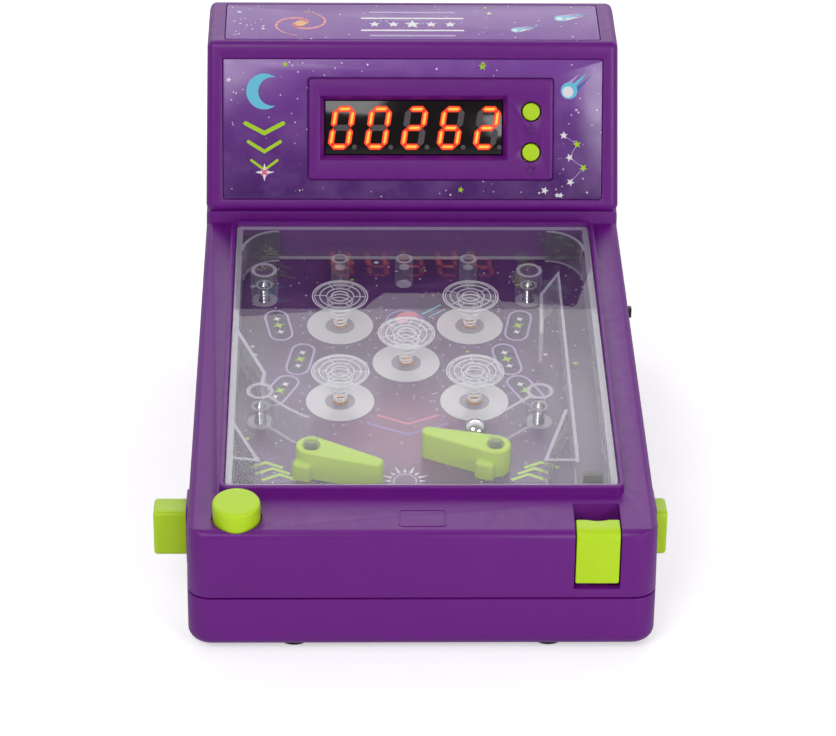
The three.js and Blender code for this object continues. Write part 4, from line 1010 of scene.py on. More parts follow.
class PINBALL_OT_frame_finishes(bpy.types.Operator):
    """Gives every frame node the finish of its material slot"""

    bl_idname = "pinball.frame_finishes"
    bl_label = "Frame finishes"

    def execute(self, context):
        for part in frame["record"]["subparts"]:
            mesh = frame["nodes"][part["node"]].data
            mesh.materials.clear()
            mesh.materials.append(finish(NODE_FINISHES[part["material_slot"]]))
        return {"FINISHED"}


# Housing
def cover_outline(margin, radius, steps):
    """The clear cover's outline on the deck, moved inwards by a margin."""
    sides = (-COVER_HALF + margin, COVER_HALF - margin)
    return panel(*sides, COVER_FRONT + margin, COVER_REAR - margin, radius, steps)


def ground_plan(inward):
    """The outline of both halves seen from above, moved inwards."""
    half = HALF - inward
    return panel(-half, half, FRONT + inward, REAR - inward, 7.5 - inward, 14)


def housing_form(inward, name="housing_work"):
    """The closed outer form of the upper half, or the form that hollows it."""
    half = HALF - inward
    side = rounded([
        (FRONT, PARTING - 3.5),
        (REAR, PARTING - 3.5),
        (REAR, HEAD_TOP, 5),
        (*FACE_TOP, 2.8),
        (*FACE_FOOT, 2.6),
        (DECK_REAR[0], FACE_FOOT[1]),
        (DECK_REAR[0], DECK_REAR[1]),
        (FRONT, DECK_HEIGHT, 3),
    ], 10)
    if inward:
        side = inset(side, inward)
        form = prism(side, -half, half)
    else:
        form = prism(side, -half, half, 2.5, 2.5, 6)
    plan = ground_plan(inward)
    foot = PARTING + 0.3 - (1 if inward else 0)
    obj = common(mesh_object(name, placed(ACROSS, form)), prism(plan, foot, HEAD_TOP + 1))
    for vertex in obj.data.vertices:
        vertex.co.x *= 1 - max(draft(vertex.co.z), 0)
    return obj


def button_outline(margin, radius):
    left, right = BUTTON_Y - 5.2, BUTTON_Y + 5.2
    low, high = BUTTON_Z - 7.65, BUTTON_Z + 7.65
    return panel(left - margin, right + margin, low - margin, high + margin, radius, 6)


def upper_housing():
    housing = cut(housing_form(0), housing_form(WALL, "housing_hollow"))
    rim = cover_outline(-GAP - 1.5, 3, 10)
    window = cover_outline(-GAP, 1.8, 8)
    well_rear = FRONT + 15.2 * math.cos(SLOPE)
    well_shell = common(
        housing_form(0, "well_work"), block(44.9, 62.3, FRONT, well_rear + 1.6, 21.2, 60)
    )
    posts = [rod(3, 24, 42, x, y, 20) if y < 0 else rod(4, 24, 56, x, y, 20) for x, y in POSTS]
    tall = common(housing_form(0, "post_work"), merged(*posts))
    face = half_width(BUTTON_Z)
    collar = placed(ACROSS, prism(button_outline(2.5, 2.6), face - 1.1, face + 0.8, 0.5, 0))
    joined(
        housing,
        placed(DECK, prism(rim, FIELD + GAP, 3.5, 0.55, 0)),
        well_shell,
        tall,
        collar,
        mirrored(collar),
    )
    pocket = panel(46.5, 60.7, FRONT - 4, well_rear, 0.8, 4)
    hole = placed(ACROSS, prism(button_outline(GAP, 1.9), face - 4.4, face + 2))
    face_recess = placed(FACE, prism(panel(-66, 66, 5, 54, 1, 5), -0.7, 1))
    bezel_hole = placed(FACE, prism(panel(-34.3, 46.8, 13.9, 45.3, 1, 4), -4.4, 1))
    top_recess = placed(TOP, prism(panel(-65.2, 65.2, 2, 27.5, 1, 5), -0.7, 1))
    z = 55.28
    slot = block(
        half_width(z) - 4.4, half_width(z) + 2.2, SWITCH_Y - 1.45, SWITCH_Y + 3.95, z - 2.1, z + 2.1
    )
    switch_dish = placed(
        Matrix.Translation((half_width(z) + 0.01, SWITCH_Y + 1.25, z)) @ ACROSS,
        prism(panel(-4.6, 4.6, -3.4, 3.4, 1.2, 5), -0.8, 1),
    )
    key_rod = placed(DECK @ PLUNGER, rod(2, 7.5, 19.4, sides=24))
    cut(
        housing,
        placed(DECK, prism(window, FIELD - 1, 4.5)),
        placed(DECK, rod(7.65, -18.4, 6, -57, 8.6, 64)),
        prism(pocket, 22.8, 60),
        key_rod,
        hole,
        mirrored(hole),
        face_recess,
        bezel_hole,
        top_recess,
        slot,
        switch_dish,
    )
    return softened(housing, bpy.context.scene.pinball_sizes.edge / MM, 2, 40)


class PINBALL_OT_housing(bpy.types.Operator):
    """Builds the upper housing with its raised lip, well, collars and plaque"""

    bl_idname = "pinball.housing"
    bl_label = "Upper housing"

    def execute(self, context):
        piece(
            "housing_shell", upper_housing(), "housing", "purple_moulding",
            ["upper_housing"],
        )
        outer = panel(-7.35, 7.35, 3.6, 12.1, 1.2, 5)
        inner = inset(outer, 0.55)
        profile = (
            (outer, -0.1),
            (outer, 0.14),
            (inset(outer, 0.12), 0.22),
            (inset(inner, -0.12), 0.22),
            (inner, 0.14),
            (inner, -0.1),
        )
        plaque = loft([[(x, y, height) for x, y in shape] for shape, height in profile], True)
        piece("plaque_outline", plaque, "housing", "purple_moulding", place=SHIFT @ DECK)
        return {"FINISHED"}


def base_tray():
    def hull(inward, name):
        edge = 4 - inward
        return mesh_object(name, prism(ground_plan(inward), 2 + inward, PARTING + 5, edge, edge, 8))

    tray = cut(
        hull(0, "tray_work"), hull(WALL, "tray_hollow"), block(-100, 100, -150, 150, PARTING - 0.3, 100)
    )
    lip = prism(panel(-70, 70, FRONT + 2.5, REAR - 2.5, 5, 12), PARTING - 2.5, PARTING + 1.3)
    lip_room = prism(panel(-68.9, 68.9, FRONT + 3.6, REAR - 3.6, 3.9, 12), PARTING - 5, PARTING + 4)
    lip_ring = cut(mesh_object("lip_work", lip), lip_room)
    posts = [rod(3, 3, 23.7, x, y, 20) for x, y in POSTS]
    ring = cut(
        mesh_object("ring_work", rod(19.7, 3, 8.2, SPEAKER_X, SPEAKER_Y, 48)),
        rod(18.3, 2, 10, SPEAKER_X, SPEAKER_Y, 48),
    )
    joined(
        tray,
        lip_ring,
        block(-30.45, 30.45, BATTERY_Y - 24.3, BATTERY_Y + 24.3, 2, 20.95),
        *posts,
        ring,
        *[block(s * 46 - 2.5, s * 46 + 2.5, SPRING_Y - 2.5, SPRING_Y + 2.5, 3, 27.3) for s in (-1, 1)],
        rod(4, 3, 10.2, 0, BATTERY_Y + 27.5, 24),
    )
    cut(
        tray,
        block(-28.85, 28.85, BATTERY_Y - 22.8, BATTERY_Y + 22.8, 1, 19.35),
        *[rod(2.2, 1, PARTING - 2.5, x, y, 24) for x, y in POSTS],
        *[rod(5.3, 1, 2.8, x, y, 48) for x, y in FEET],
        rod(1.8, 1, 12, 0, BATTERY_Y + 27.5, 24),
        block(-5.3, 5.3, BATTERY_Y + 21.8, BATTERY_Y + 31.1, 1, 3.3),
    )
    slots = []
    for i in range(-2, 3):
        offset = 4.6 * i
        half = math.sqrt(18 ** 2 - offset ** 2) - 4.6
        ends = [(SPEAKER_X + side * half, SPEAKER_Y + offset) for side in (-1, 1)]
        slots.append(prism(strip(ends, 1.6, True), 1, 6))
    cut(tray, *slots)
    return softened(tray, 0.2, 2, 40)


def cross_screw(radius, head_height, low, x, y):
    """A pan-head screw with a cross recess, head down."""
    shank, seat, tip = radius * 0.5, low + head_height, low + head_height + 6
    profile = [(0, low)]
    for k in range(7):
        angle = math.pi / 2 * k / 6
        profile.append(
            (radius * math.sin(angle) if k else 0.01, low + head_height * (1 - math.cos(angle)) * 0.8)
        )
    profile += [(radius, seat), (shank, seat), (shank, tip), (0, tip)]
    obj = mesh_object("screw_work", turned(profile, 32, x, y))
    arm, width = radius * 0.62, radius * 0.2
    bars = [
        block(x - arm, x + arm, y - width, y + width, low - 1, low + head_height * 0.55),
        block(x - width, x + width, y - arm, y + arm, low - 1, low + head_height * 0.55),
    ]
    return cut(obj, *bars)


class PINBALL_OT_tray(bpy.types.Operator):
    """Builds the base tray, its feet, door, housing screws and door screw"""

    bl_idname = "pinball.tray"
    bl_label = "Base tray"

    def execute(self, context):
        purple = "purple_moulding"
        piece("tray_shell", base_tray(), "housing", purple, ["base_tray"])
        for i, (x, y) in enumerate(POSTS, 1):
            screw = cross_screw(1.9, 1.5, 12.4, x, y)
            piece("housing_screw_%d" % i, screw, "housing", "steel")
        for i, (x, y) in enumerate(FEET, 1):
            pad = turned([(0, 0), (3.9, 0), (4.6, 0.25), (5, 0.8), (5, 2.5), (0, 2.5)], 48, x, y)
            piece("foot_pad_%d" % i, pad, "housing", "rubber", ["foot_%d" % i])
        door = from_node("battery_door", 0.2)
        ribs = []
        for y in (BATTERY_Y - 18 + 2.2 * k for k in range(6)):
            grip = strip([(-9, y), (9, y)], 0.9, True)
            ribs.append(placed(SHIFT, prism(grip, 1.75, 2.3, 0.2, 0.2, 2)))
        joined(door, *ribs)
        piece(
            "door_panel", door, "housing", purple, ["battery_door"], place=Matrix()
        )
        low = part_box("battery_door_screw")[0].z / MM
        screw = cross_screw(2.8, 1.5, low, 0, BATTERY_Y + 27.55)
        piece("door_screw", screw, "housing", "steel", ["battery_door_screw"])
        return {"FINISHED"}


# Clear cover
def guide_lines():
    left = -59.9
    return [
        [(left, 108.5), (-49.8, 82.3), (-51.1, 72.3)],
        [(left, 56.3), (-51.1, 35.1), (left, 36.4)],
        [(-51.1, 72.3), (-41.3, 62.1), (-35.5, 57.7)],
        [(39.2, 72.3), (24, 58.5)],
        [(47.2, 62.1), (39.2, 35.1), (49.1, 35.1)],
        [(49.1, 33.8), (49.1, 141.4), (42.7, 128.5), (41.5, 105.3)],
    ]


def corner_guide(side):
    centre = side * (61 - 2.2 - 12.5)
    first = 0 if side > 0 else math.pi / 2
    angles = [first + math.pi / 2 * k / 16 for k in range(17)]
    outer = [(centre + 13.15 * math.cos(a), 155.3 + 13.15 * math.sin(a)) for a in angles]
    inner = [(centre + 11.85 * math.cos(a), 155.3 + 11.85 * math.sin(a)) for a in reversed(angles)]
    return outer + inner


def clear_plate():
    plate = mesh_object("plate_work", prism(cover_outline(0, 1.5, 8), COVER_UNDER, COVER_TOP, 0.6, 0))
    foot, tip = COVER_TOP - 0.3, COVER_TOP + 1.8
    pip = [(0, foot), (0.8, foot), (0.8, COVER_TOP + 1.5), (0.6, tip), (0, tip)]
    joined(plate, *[turned(pip, 24, x, PEG_ROW) for x in PEGS])
    return softened(plate, 0.1, 1, 50)


def clear_ribs():
    """The walls, guide ribs, screw bosses and pegs under the plate."""
    under = COVER_UNDER - 0.02
    walls = cut(
        mesh_object("walls_work", prism(cover_outline(0, 1.5, 8), RIB_FOOT, under, 0, 0.2)),
        prism(cover_outline(WALL, 0.6, 4), RIB_FOOT - 1, under + 1),
    )
    parts = [prism(strip(line, 1.3), RIB_FOOT, under, 0, 0.15, 2) for line in guide_lines()]
    parts += [prism(corner_guide(side), RIB_FOOT, under) for side in (-1, 1)]
    parts += [rod(4.5, RIB_FOOT, under, x, v, 48, 0) for x, v in BOSSES]
    peg = [(0, FIELD + 2), (2.6, FIELD + 2), (3, FIELD + 2.5), (3, under), (0, under)]
    pivot = [(0, -6.9), (1.7, -6.9), (2.2, -6.4), (2.2, under), (0, under)]
    parts += [turned(peg, 40, x, PEG_ROW) for x in PEGS]
    parts += [turned(pivot, 32, x, v) for x, v in FLIPPERS.values()]
    joined(walls, *parts)
    cut(
        walls,
        *[rod(2, RIB_FOOT - 1, -3, x, v, 32) for x, v in BOSSES],
        *[rod(3.1, -4, under + 1, x, v, 40) for x, v in BOSSES],
        *[rod(1.9, -1.5, under + 1, x, PEG_ROW, 32) for x in PEGS],
        *[rod(1.8, -5, under + 1, x, v, 32) for x, v in FLIPPERS.values()],
    )
    return softened(walls, 0.1, 1, 50)


class PINBALL_OT_cover(bpy.types.Operator):
    """Builds the clear cover: its plate, and the walls, bosses, guide ribs and pegs under it"""

    bl_idname = "pinball.cover"
    bl_label = "Clear cover"

    def execute(self, context):
        place = SHIFT @ DECK
        piece(
            "clear_lid", clear_plate(), "housing", "clear_moulding", ["game_cover"],
            place=place,
        )
        piece("clear_guides", clear_ribs(), "housing", "clear_ribs", place=place)
        return {"FINISHED"}


class PINBALL_OT_cover_screws(bpy.types.Operator):
    """Builds the threaded screws that hold the cover"""

    bl_idname = "pinball.cover_screws"
    bl_label = "Cover screws"

    def execute(self, context):
        pitch = context.scene.pinball_sizes.thread_pitch / MM
        under = FIELD - 2.5 - GAP
        for i, (x, v) in enumerate(BOSSES, 1):
            profile = [(0, under - 1.8), (2.5, under - 1.8), (2.9, under - 1.3), (2.9, under), (1.1, under)]
            z = under + 1
            while z < under + 9.4:
                profile += [(1.1, z), (1.55, z + pitch * 0.45), (1.1, z + pitch * 0.9)]
                z += pitch
            profile += [(0.5, under + 10.6), (0, under + 11)]
            form = turned(profile, 32, x, v)
            name = "cover_screw_%d" % i
            piece("threaded_screw_%d" % i, form, "housing", "steel", [name], place=SHIFT @ DECK)
        return {"FINISHED"}


# Playfield
class PINBALL_OT_playfield(bpy.types.Operator):
    """Builds the playfield plate and prints its rings, islands and stars"""

    bl_idname = "pinball.playfield"
    bl_label = "Playfield"

    def execute(self, context):
        half = 62.8
        plate = mesh_object("field_work", prism(panel(-half, half, 18.8, 172.6, 3, 8), FIELD - 2.5, FIELD))
        holes = [rod(2.7, FIELD - 4, FIELD + 1, x, v) for x, v in FLIPPERS.values()]
        holes += [rod(1.8, FIELD - 4, FIELD + 1, x, v, 24) for x, v in BOSSES]
        holes += [rod(1.0, FIELD - 4, FIELD + 1, x, v, 20) for x, v in BUMPERS]
        slot = block(50.9, 57.5, 23.1, 36.2, FIELD - 4, FIELD + 1)
        bracket = block(50.2, 58.2, 36.2, 39.2, -18.8, FIELD - 1.2)
        cut(joined(plate, bracket), *holes, slot)
        bore = placed(PLUNGER, rod(2, 34, 42, sides=24))
        cut(plate, bore)
        piece(
            "field_board", softened(plate, 0.1, 1), "housing", "field_sheet",
            ["playfield"], place=SHIFT @ DECK,
        )
        self.draw_print(context)
        return {"FINISHED"}

    def draw_print(self, context):
        outer = context.scene.pinball_sizes.ring_outer / MM
        art = Print(DECK, FIELD + 0.02)
        white, lime, violet, pale = (finish(n) for n in ("white_ink", "lime_ink", "violet_ink", "pale_ink"))
        deep, cyan, rose = finish("deep_ink"), finish("cyan_ink"), finish("rose_ink")
        for x, v in BUMPERS:
            art.ring(x, v, outer, 4.95, finish("ring_ink"), 1)
            art.ring(x, v, 4.95, 1.05, finish("core_ink"), 1)
            for k in range(18):
                if k % 6:
                    angle = math.radians(20 * k)
                    art.patch(
                        disc(0.42, x + 13.2 * math.cos(angle), v + 13.2 * math.sin(angle), 12), pale, 2
                    )
        islands = [(-46, 128, 100), (-38.5, 108, 80), (-45, 90, 64)]
        islands += [(35.2, 128, 80), (30.5, 108, 100), (36, 90, 116)]
        sun = Vector((-4.7, 40.5))
        for x, v, lean in islands:
            along = Vector((math.cos(math.radians(lean)), math.sin(math.radians(lean))))
            ends = [tuple(Vector((x, v)) + along * reach) for reach in (-5.2, 5.2)]
            shape = strip(ends, 8.4, True)
            art.patch(shape, deep, 2)
            art.frame(shape, 0.8, pale, 3)
            for reach in (-3.9, 0, 3.9):
                spot = Vector((x, v)) + along * reach
                art.patch(star(*spot, 1.5 if reach else 2.1, 4, 0.4, 0.4), white if reach else lime, 4)
        for k in range(16):
            angle = 2 * math.pi * k / 16
            reach = Vector((math.cos(angle), math.sin(angle)))
            side = Vector((-reach.y, reach.x)) * 0.55
            near, far = sun + reach * 4.6, sun + reach * (8.4 if k % 2 else 6.8)
            art.patch([tuple(near - side), tuple(far), tuple(near + side)], white, 2)
        art.ring(*sun, 3.9, 3.3, pale, 2)
        for side, x in ((-1, -44.5), (1, 34.5)):
            for k in range(3):
                tip = (x + side * 2.2 * k, 44 + 3.2 * k)
                points = [(tip[0] - 5.5, tip[1] - 3), tip, (tip[0] + 5.5, tip[1] - 3)]
                art.patch(strip(points, 1.3), lime, 3)
        art.patch(strip([(-16, 71.5), (-3.25, 65.5), (9.5, 71.5)], 1.2, True), violet, 2)
        art.patch(strip([(-13, 76), (-3.25, 71.2), (6.5, 76)], 0.9, True), rose, 2)
        art.ring(-3.25, 131, 6.5, 5.7, violet, 2)
        art.ring(-1.6, 132, 4.6, 0.2, rose, 2, 0.3, math.pi * 1.2)
        art.patch(strip([(3, 135), (9, 140.5)], 0.7, True), cyan, 2)
        art.patch(strip([(5, 133), (10.5, 138)], 0.45, True), cyan, 2)
        chance = random.Random(11)
        keep_clear = [(x, v, 14) for x, v in BUMPERS] + [(x, v, 10) for x, v, lean in islands]
        keep_clear.append((*sun, 10))
        for k in range(210):
            x, v = chance.uniform(-57, 57), chance.uniform(25, 167)
            if any(math.hypot(x - a, v - b) < c for a, b, c in keep_clear):
                continue
            if k % 7 == 0:
                art.patch(
                    star(x, v, chance.uniform(0.8, 1.4), 5, 0.42, chance.uniform(0, 1)),
                    lime if k % 2 else white, 5,
                )
            else:
                art.patch(disc(chance.uniform(0.14, 0.34), x, v, 8), white, 5)
        art.piece("field_print", "housing", "printed_sheet")


# Flippers, buttons and key
class PINBALL_OT_flippers(bpy.types.Operator):
    """Builds the two flippers"""

    bl_idname = "pinball.flippers"
    bl_label = "Flippers"

    def execute(self, context):
        kinds = (
            ("left", math.radians(-22.8), -1, -4.2, 2.2),
            ("right", math.pi - math.radians(19), 1, -1.4, 5.0),
        )
        for side, turn, heel, near, far in kinds:
            x, v = FLIPPERS[side]
            low = FIELD + GAP
            obj = mesh_object("flipper_work", prism(link(22, 4.9, 2.4), low, -0.2, 0.7, 0.4))
            front, rear = sorted((0, heel * 6.8))
            lug = prism(panel(near, far, front, rear, 1.5, 5), low, low + 6.2, 1.3, 0.2, 5)
            joined(
                obj, lug, rod(2.4, FIELD - 2.65, low + 0.5), block(-1.7, 1.7, -1.7, 1.7, -15.8, FIELD - 2.5)
            )
            cut(obj, rod(2.9, -7.2, 1, sides=40))
            softened(obj, 0.2, 2, 50)
            place = SHIFT @ DECK @ Matrix.Translation((x, v, 0)) @ Matrix.Rotation(turn, 4, "Z")
            piece(
                side + "_flipper_blade", obj, side + "_flipper_body", "lime_moulding",
                [side + "_flipper"], place=place,
            )
        return {"FINISHED"}


class PINBALL_OT_side_buttons(bpy.types.Operator):
    """Dresses the side buttons and winds their springs"""

    bl_idname = "pinball.side_buttons"
    bl_label = "Side buttons"

    def execute(self, context):
        for side in ("left", "right"):
            node = side + "_flipper_button"
            piece(
                side + "_button_block", from_node(node, 0.2, 50), node, "lime_moulding",
                [node], place=Matrix(),
            )
            low, high = (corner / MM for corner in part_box(side + "_return_spring"))
            form = coil(2.2, 2.2, high.x - low.x, 7, 0.6)
            centre = (low + high) / 2
            place = Matrix.Translation((low.x, centre.y, centre.z)) @ ACROSS
            ends = (node, "housing") if side == "left" else ("housing", node)
            sprung(side + "_button_spring", form, side + "_return_spring", *ends, high.x - low.x, place)
        return {"FINISHED"}


class PINBALL_OT_launcher(bpy.types.Operator):
    """Builds the launcher key with its finger scoop, and the launcher spring"""

    bl_idname = "pinball.launcher"
    bl_label = "Launcher"

    def execute(self, context):
        def slope(v, h):
            return (
                FRONT + v * math.cos(SLOPE) - h * math.sin(SLOPE),
                DECK_HEIGHT + v * math.sin(SLOPE) + h * math.cos(SLOPE),
            )

        rear = slope(7.5, GAP)
        profile = rounded([
            (FRONT - GAP, 24.6, 1),
            (slope(7.5, 0)[0], 24.6, 1),
            (*rear, 1.25),
            (FRONT - GAP, DECK_HEIGHT + GAP, 3),
        ], 10)
        key = mesh_object("key_work", placed(ACROSS, prism(profile, 46.9, 60.3, 0.5, 0.5, 5)))
        reach = (9.5 ** 2 / 4 + 1.5 ** 2) / 3
        cut(key, placed(DECK, rod(reach, -3, 1.3, 53.6, 7.5 + reach - 1.5, 120)))
        bar = placed(DECK @ PLUNGER, rod(1.7, 4.5, 53, sides=32, edge=0.3))
        joined(key, bar)
        softened(key, 0.15, 2, 50)
        piece("launcher_thumb_key", key, "launcher", "lime_moulding", ["launcher_key"])
        start, end = 18.4 + GAP, 31 - GAP
        place = SHIFT @ DECK @ PLUNGER @ Matrix.Translation((0, 0, start))
        form = coil(2.3, 2.3, end - start, 6, 0.5)
        sprung("launcher_coil", form, "launcher_spring", "housing", "launcher", end - start, place)
        return {"FINISHED"}


class PINBALL_OT_round_button(bpy.types.Operator):
    """Builds the round shoulder button and its spring"""

    bl_idname = "pinball.round_button"
    bl_label = "Round button"

    def execute(self, context):
        foot = -WALL - GAP
        profile = [(0, foot - 2), (7.35, foot - 2), (7.35, 5)]
        profile += [*shoulder(7.35, 5, 1.0, 0.85, 7), (4.5, 5.93), (2, 5.98), (0, 6)]
        button = joined(
            mesh_object("button_work", turned(profile, 96)), block(-9.2, 9.2, -2.8, 2.8, foot - 2, foot)
        )
        place = SHIFT @ DECK @ Matrix.Translation((-57, 8.6, 0))
        piece(
            "round_thumb_button", softened(button, 0.1, 1, 50), "round_button",
            "lime_moulding", ["round_button"], place=place,
        )
        spring = coil(3.4, 3.4, 8.7, 6, 0.5)
        place = place @ Matrix.Translation((0, 0, foot - 2 - 9))
        sprung("round_button_coil", spring, "round_button_spring", "housing", "round_button", 8.7, place)
        return {"FINISHED"}


# Bumpers
def cap_disc():
    """The clear cap: a thin disc with a hub under it and a stem down its middle."""
    top = COVER_UNDER - GAP
    profile = [
        (0, -8.2), (0.7, -8.2), (1.1, -7.6), (1.1, -1.7), (2.6, -1.7), (2.95, -1.4), (2.95, -1),
        (9.2, -1), (9.45, -0.8), (9.5, -0.5), (9.45, -0.2), (9.2, 0), (0, 0),
    ]
    return mesh_object("cap_work", turned([(r, z + top) for r, z in profile], 72))


def cap_ridges(spokes):
    """The fine rings and spokes moulded on the cap."""
    top = COVER_UNDER - GAP - 0.02
    rings = []
    for radius, wide in ((9.3, 0.2), (8.55, 0.14), (6.8, 0.18), (4.55, 0.18), (2.9, 0.22)):
        low = top - 0.3
        corners = [
            (radius - wide, low), (radius + wide, low), (radius + wide * 0.6, top),
            (radius - wide * 0.6, top),
        ]
        rings.append(turned(corners + corners[:1], 72))
    bars = []
    for k in range(spokes):
        turn = Matrix.Rotation(2 * math.pi * k / spokes + 0.3, 4, "Z")
        bars.append(placed(turn, block(4.6, 8.5, -0.1, 0.1, top - 0.28, top - 0.02)))
    return mesh_object("ridge_work", merged(*rings, *bars))


class PINBALL_OT_bumpers(bpy.types.Operator):
    """Builds the five spring bumpers: ringed cap, tapered spring and contact pin"""

    bl_idname = "pinball.bumpers"
    bl_label = "Bumpers"

    def execute(self, context):
        sizes = context.scene.pinball_sizes
        wire = sizes.spring_wire / MM
        foot = RIB_FOOT + 0.5 + GAP
        high = COVER_UNDER - GAP - 1.7 - GAP
        models = (
            ("ringed_cap", cap_disc(), "clear_cap", "bumper_cap_%d"),
            ("cap_ridges", cap_ridges(sizes.cap_spokes), "clear_ridge", None),
        )
        spring = placed(
            Matrix.Translation((0, 0, foot)), coil(1.9, 4.2, high - foot, sizes.spring_turns, wire)
        )
        shaft = [(0, FIELD - 4.5), (0.7, FIELD - 4.5), (0.7, RIB_FOOT)]
        collar = [(2.5, 0), (2.5, 0.35), (2.3, 0.5), (0.7, 0.5), (0.7, 1.5), (0.4, 1.8), (0, 1.8)]
        pin = turned(shaft + [(r, RIB_FOOT + z) for r, z in collar], 32)
        for i, (x, v) in enumerate(BUMPERS, 1):
            place = SHIFT @ DECK @ Matrix.Translation((x, v, 0))
            turn = Matrix.Rotation(0.7 * i, 4, "Z")
            for name, model, look, node in models:
                one = added(name, model.data.copy())
                stands_for = [node % i] if node else ()
                piece(
                    "%s_%d" % (name, i), one, "housing", look, stands_for,
                    place=place @ turn,
                )
            piece(
                "tapered_spring_%d" % i, spring, "housing", "spring_wire",
                ["bumper_spring_%d" % i], place=place @ turn,
            )
            piece(
                "contact_pin_%d" % i, pin, "housing", "copper", ["bumper_pin_%d" % i], place=place
            )
        for model in models:
            bpy.data.objects.remove(model[1])
        return {"FINISHED"}


class PINBALL_OT_ball(bpy.types.Operator):
    """Builds the steel ball"""

    bl_idname = "pinball.ball"
    bl_label = "Ball"

    def execute(self, context):
        low, high = (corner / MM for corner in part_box("ball"))
        centre, radius = (low + high) / 2, 4.0
        profile = [
            (radius * math.sin(a), -radius * math.cos(a)) for a in (math.pi * k / 40 for k in range(41))
        ]
        profile[0], profile[-1] = (0, -radius), (0, radius)
        piece(
            "steel_ball", turned(profile, 80), "ball", "mirror_steel", ["ball"],
            place=Matrix.Translation(centre),
        )
        return {"FINISHED"}


# Score head
def segment_outlines(width, height, thick, slant):
    """The seven bars of a digit, its foot at the origin, a to g."""
    gap = 0.16
    half = thick / 2
    mid = height / 2

    def bar(x0, y0, x1, y1):
        along = Vector((x1 - x0, y1 - y0)).normalized()
        side = Vector((-along.y, along.x)) * half
        start, end = Vector((x0, y0)) + along * gap, Vector((x1, y1)) - along * gap
        shape = [
            start, start + along * half - side, end - along * half - side, end, end - along * half + side,
            start + along * half + side,
        ]
        return [(p.x + p.y * math.tan(slant), p.y) for p in shape]

    left, right, low, high = half, width - half, half, height - half
    return {
        "a": bar(left, high, right, high),
        "b": bar(right, mid, right, high),
        "c": bar(right, low, right, mid),
        "d": bar(left, low, right, low),
        "e": bar(left, low, left, mid),
        "f": bar(left, mid, left, high),
        "g": bar(left, mid, right, mid),
    }


LIT = {"0": "abcdef", "2": "abged", "6": "afgedc"}


class PINBALL_OT_display(bpy.types.Operator):
    """Builds the bezel, the display with its digits and the two head buttons"""

    bl_idname = "pinball.display"
    bl_label = "Display"

    def execute(self, context):
        place = SHIFT @ FACE
        bezel = mesh_object("bezel_work", prism(panel(-36.2, 48.7, 12, 47.2, 1.2, 6), -0.4, 1.6, 0.7, 0))
        joined(bezel, prism(panel(-34, 46.5, 14.2, 45, 1, 4), -4, -0.1))
        mouth = loft([
            [(x, y, -1.0) for x, y in panel(*WINDOW)],
            [(x, y, 1.61) for x, y in panel(-32.3, 33.0, 18.8, 41.2)],
        ])
        cut(
            bezel,
            block(*WINDOW, -6, 1),
            mouth,
            *[rod(3.5, -6, 3, *spot, 64) for spot in HEAD_BUTTONS.values()],
        )
        purple, lime = "purple_moulding", "lime_moulding"
        piece(
            "window_bezel", softened(bezel, 0.15, 2, 50), "housing", purple,
            ["display_bezel"], place=place,
        )
        module = mesh_object("module_work", block(-30.4, 31.1, 20.7, 39.3, -9.6, -1.6))
        piece(
            "display_block", softened(module, 0.2, 2), "housing", "display_window",
            ["display_module"], place=place,
        )
        self.draw_digits(context)
        for name, spot in HEAD_BUTTONS.items():
            profile = [(0, -5.2), (4.5, -5.2), (4.5, -4.3), (3, -4.3), (3, 2.1)]
            profile += [*shoulder(3, 2.1, 0.5, 0.42, 6), (1.4, 2.57), (0, 2.6)]
            body = name + "_button"
            piece(
                name + "_push_button", turned(profile, 64, *spot), body, lime, [body],
                place=place,
            )
        # Flat marks painted darker than the housing: painted shade for the relief of the moulded power and
        # reset symbols.
        mark = Print(FACE, 1.62)
        dark = finish("mark_painted_shade")
        mark.ring(41, 29.3, 1.5, 1.15, dark, 0, math.radians(120), math.radians(300), 48)
        mark.patch(strip([(41, 29.3), (41, 31.1)], 0.4, True), dark, 1)
        mark.ring(41, 15.4, 1.5, 1.15, dark, 0, math.radians(60), math.radians(280), 48)
        mark.patch([(41.2, 16.3), (43.1, 16.9), (42.2, 15.1)], dark, 1)
        mark.piece("button_marks", "housing", "bright_purple_plastic")
        return {"FINISHED"}

    def draw_digits(self, context):
        sizes = context.scene.pinball_sizes
        height, slant = sizes.digit_height / MM, sizes.digit_slant
        art = Print(FACE, -1.57)
        lit, core, unlit = finish("lit_segment"), finish("lit_core"), finish("unlit_segment")
        for i, figure in enumerate("00262"):
            bars = segment_outlines(DIGIT_WIDTH, height, SEGMENT, slant)
            left, low = DIGITS_LEFT + DIGIT_PITCH * i, DIGITS_LOW
            for name, shape in bars.items():
                on = name in LIT[figure]
                art.patch([(left + x, low + y) for x, y in shape], lit if on else unlit, 0)
                if on:
                    inner = inset(shape, 0.62)
                    art.patch([(left + x, low + y) for x, y in inner], core, 1)
            art.patch(disc(0.85, left + 9.6, low + 0.9, 24), unlit, 0)
        art.piece("display_digits", "housing", "dark_plastic")


def scatter(art, chance, count, left, right, low, high, keep_clear, inks, big=1.0):
    """Small dots and stars over a sheet, clear of the shapes in keep_clear."""
    white, lime = inks
    for k in range(count):
        x, y = chance.uniform(left, right), chance.uniform(low, high)
        if any(a - 1.6 < x < b + 1.6 and c - 1.6 < y < d + 1.6 for a, b, c, d in keep_clear):
            continue
        if k % 6 == 0:
            art.patch(
                star(x, y, big * chance.uniform(0.9, 1.5), 5, 0.42, chance.uniform(-0.4, 0.4)),
                lime if k % 12 else white, 3,
            )
        else:
            art.patch(disc(chance.uniform(0.16, 0.36), x, y, 10), white, 3)


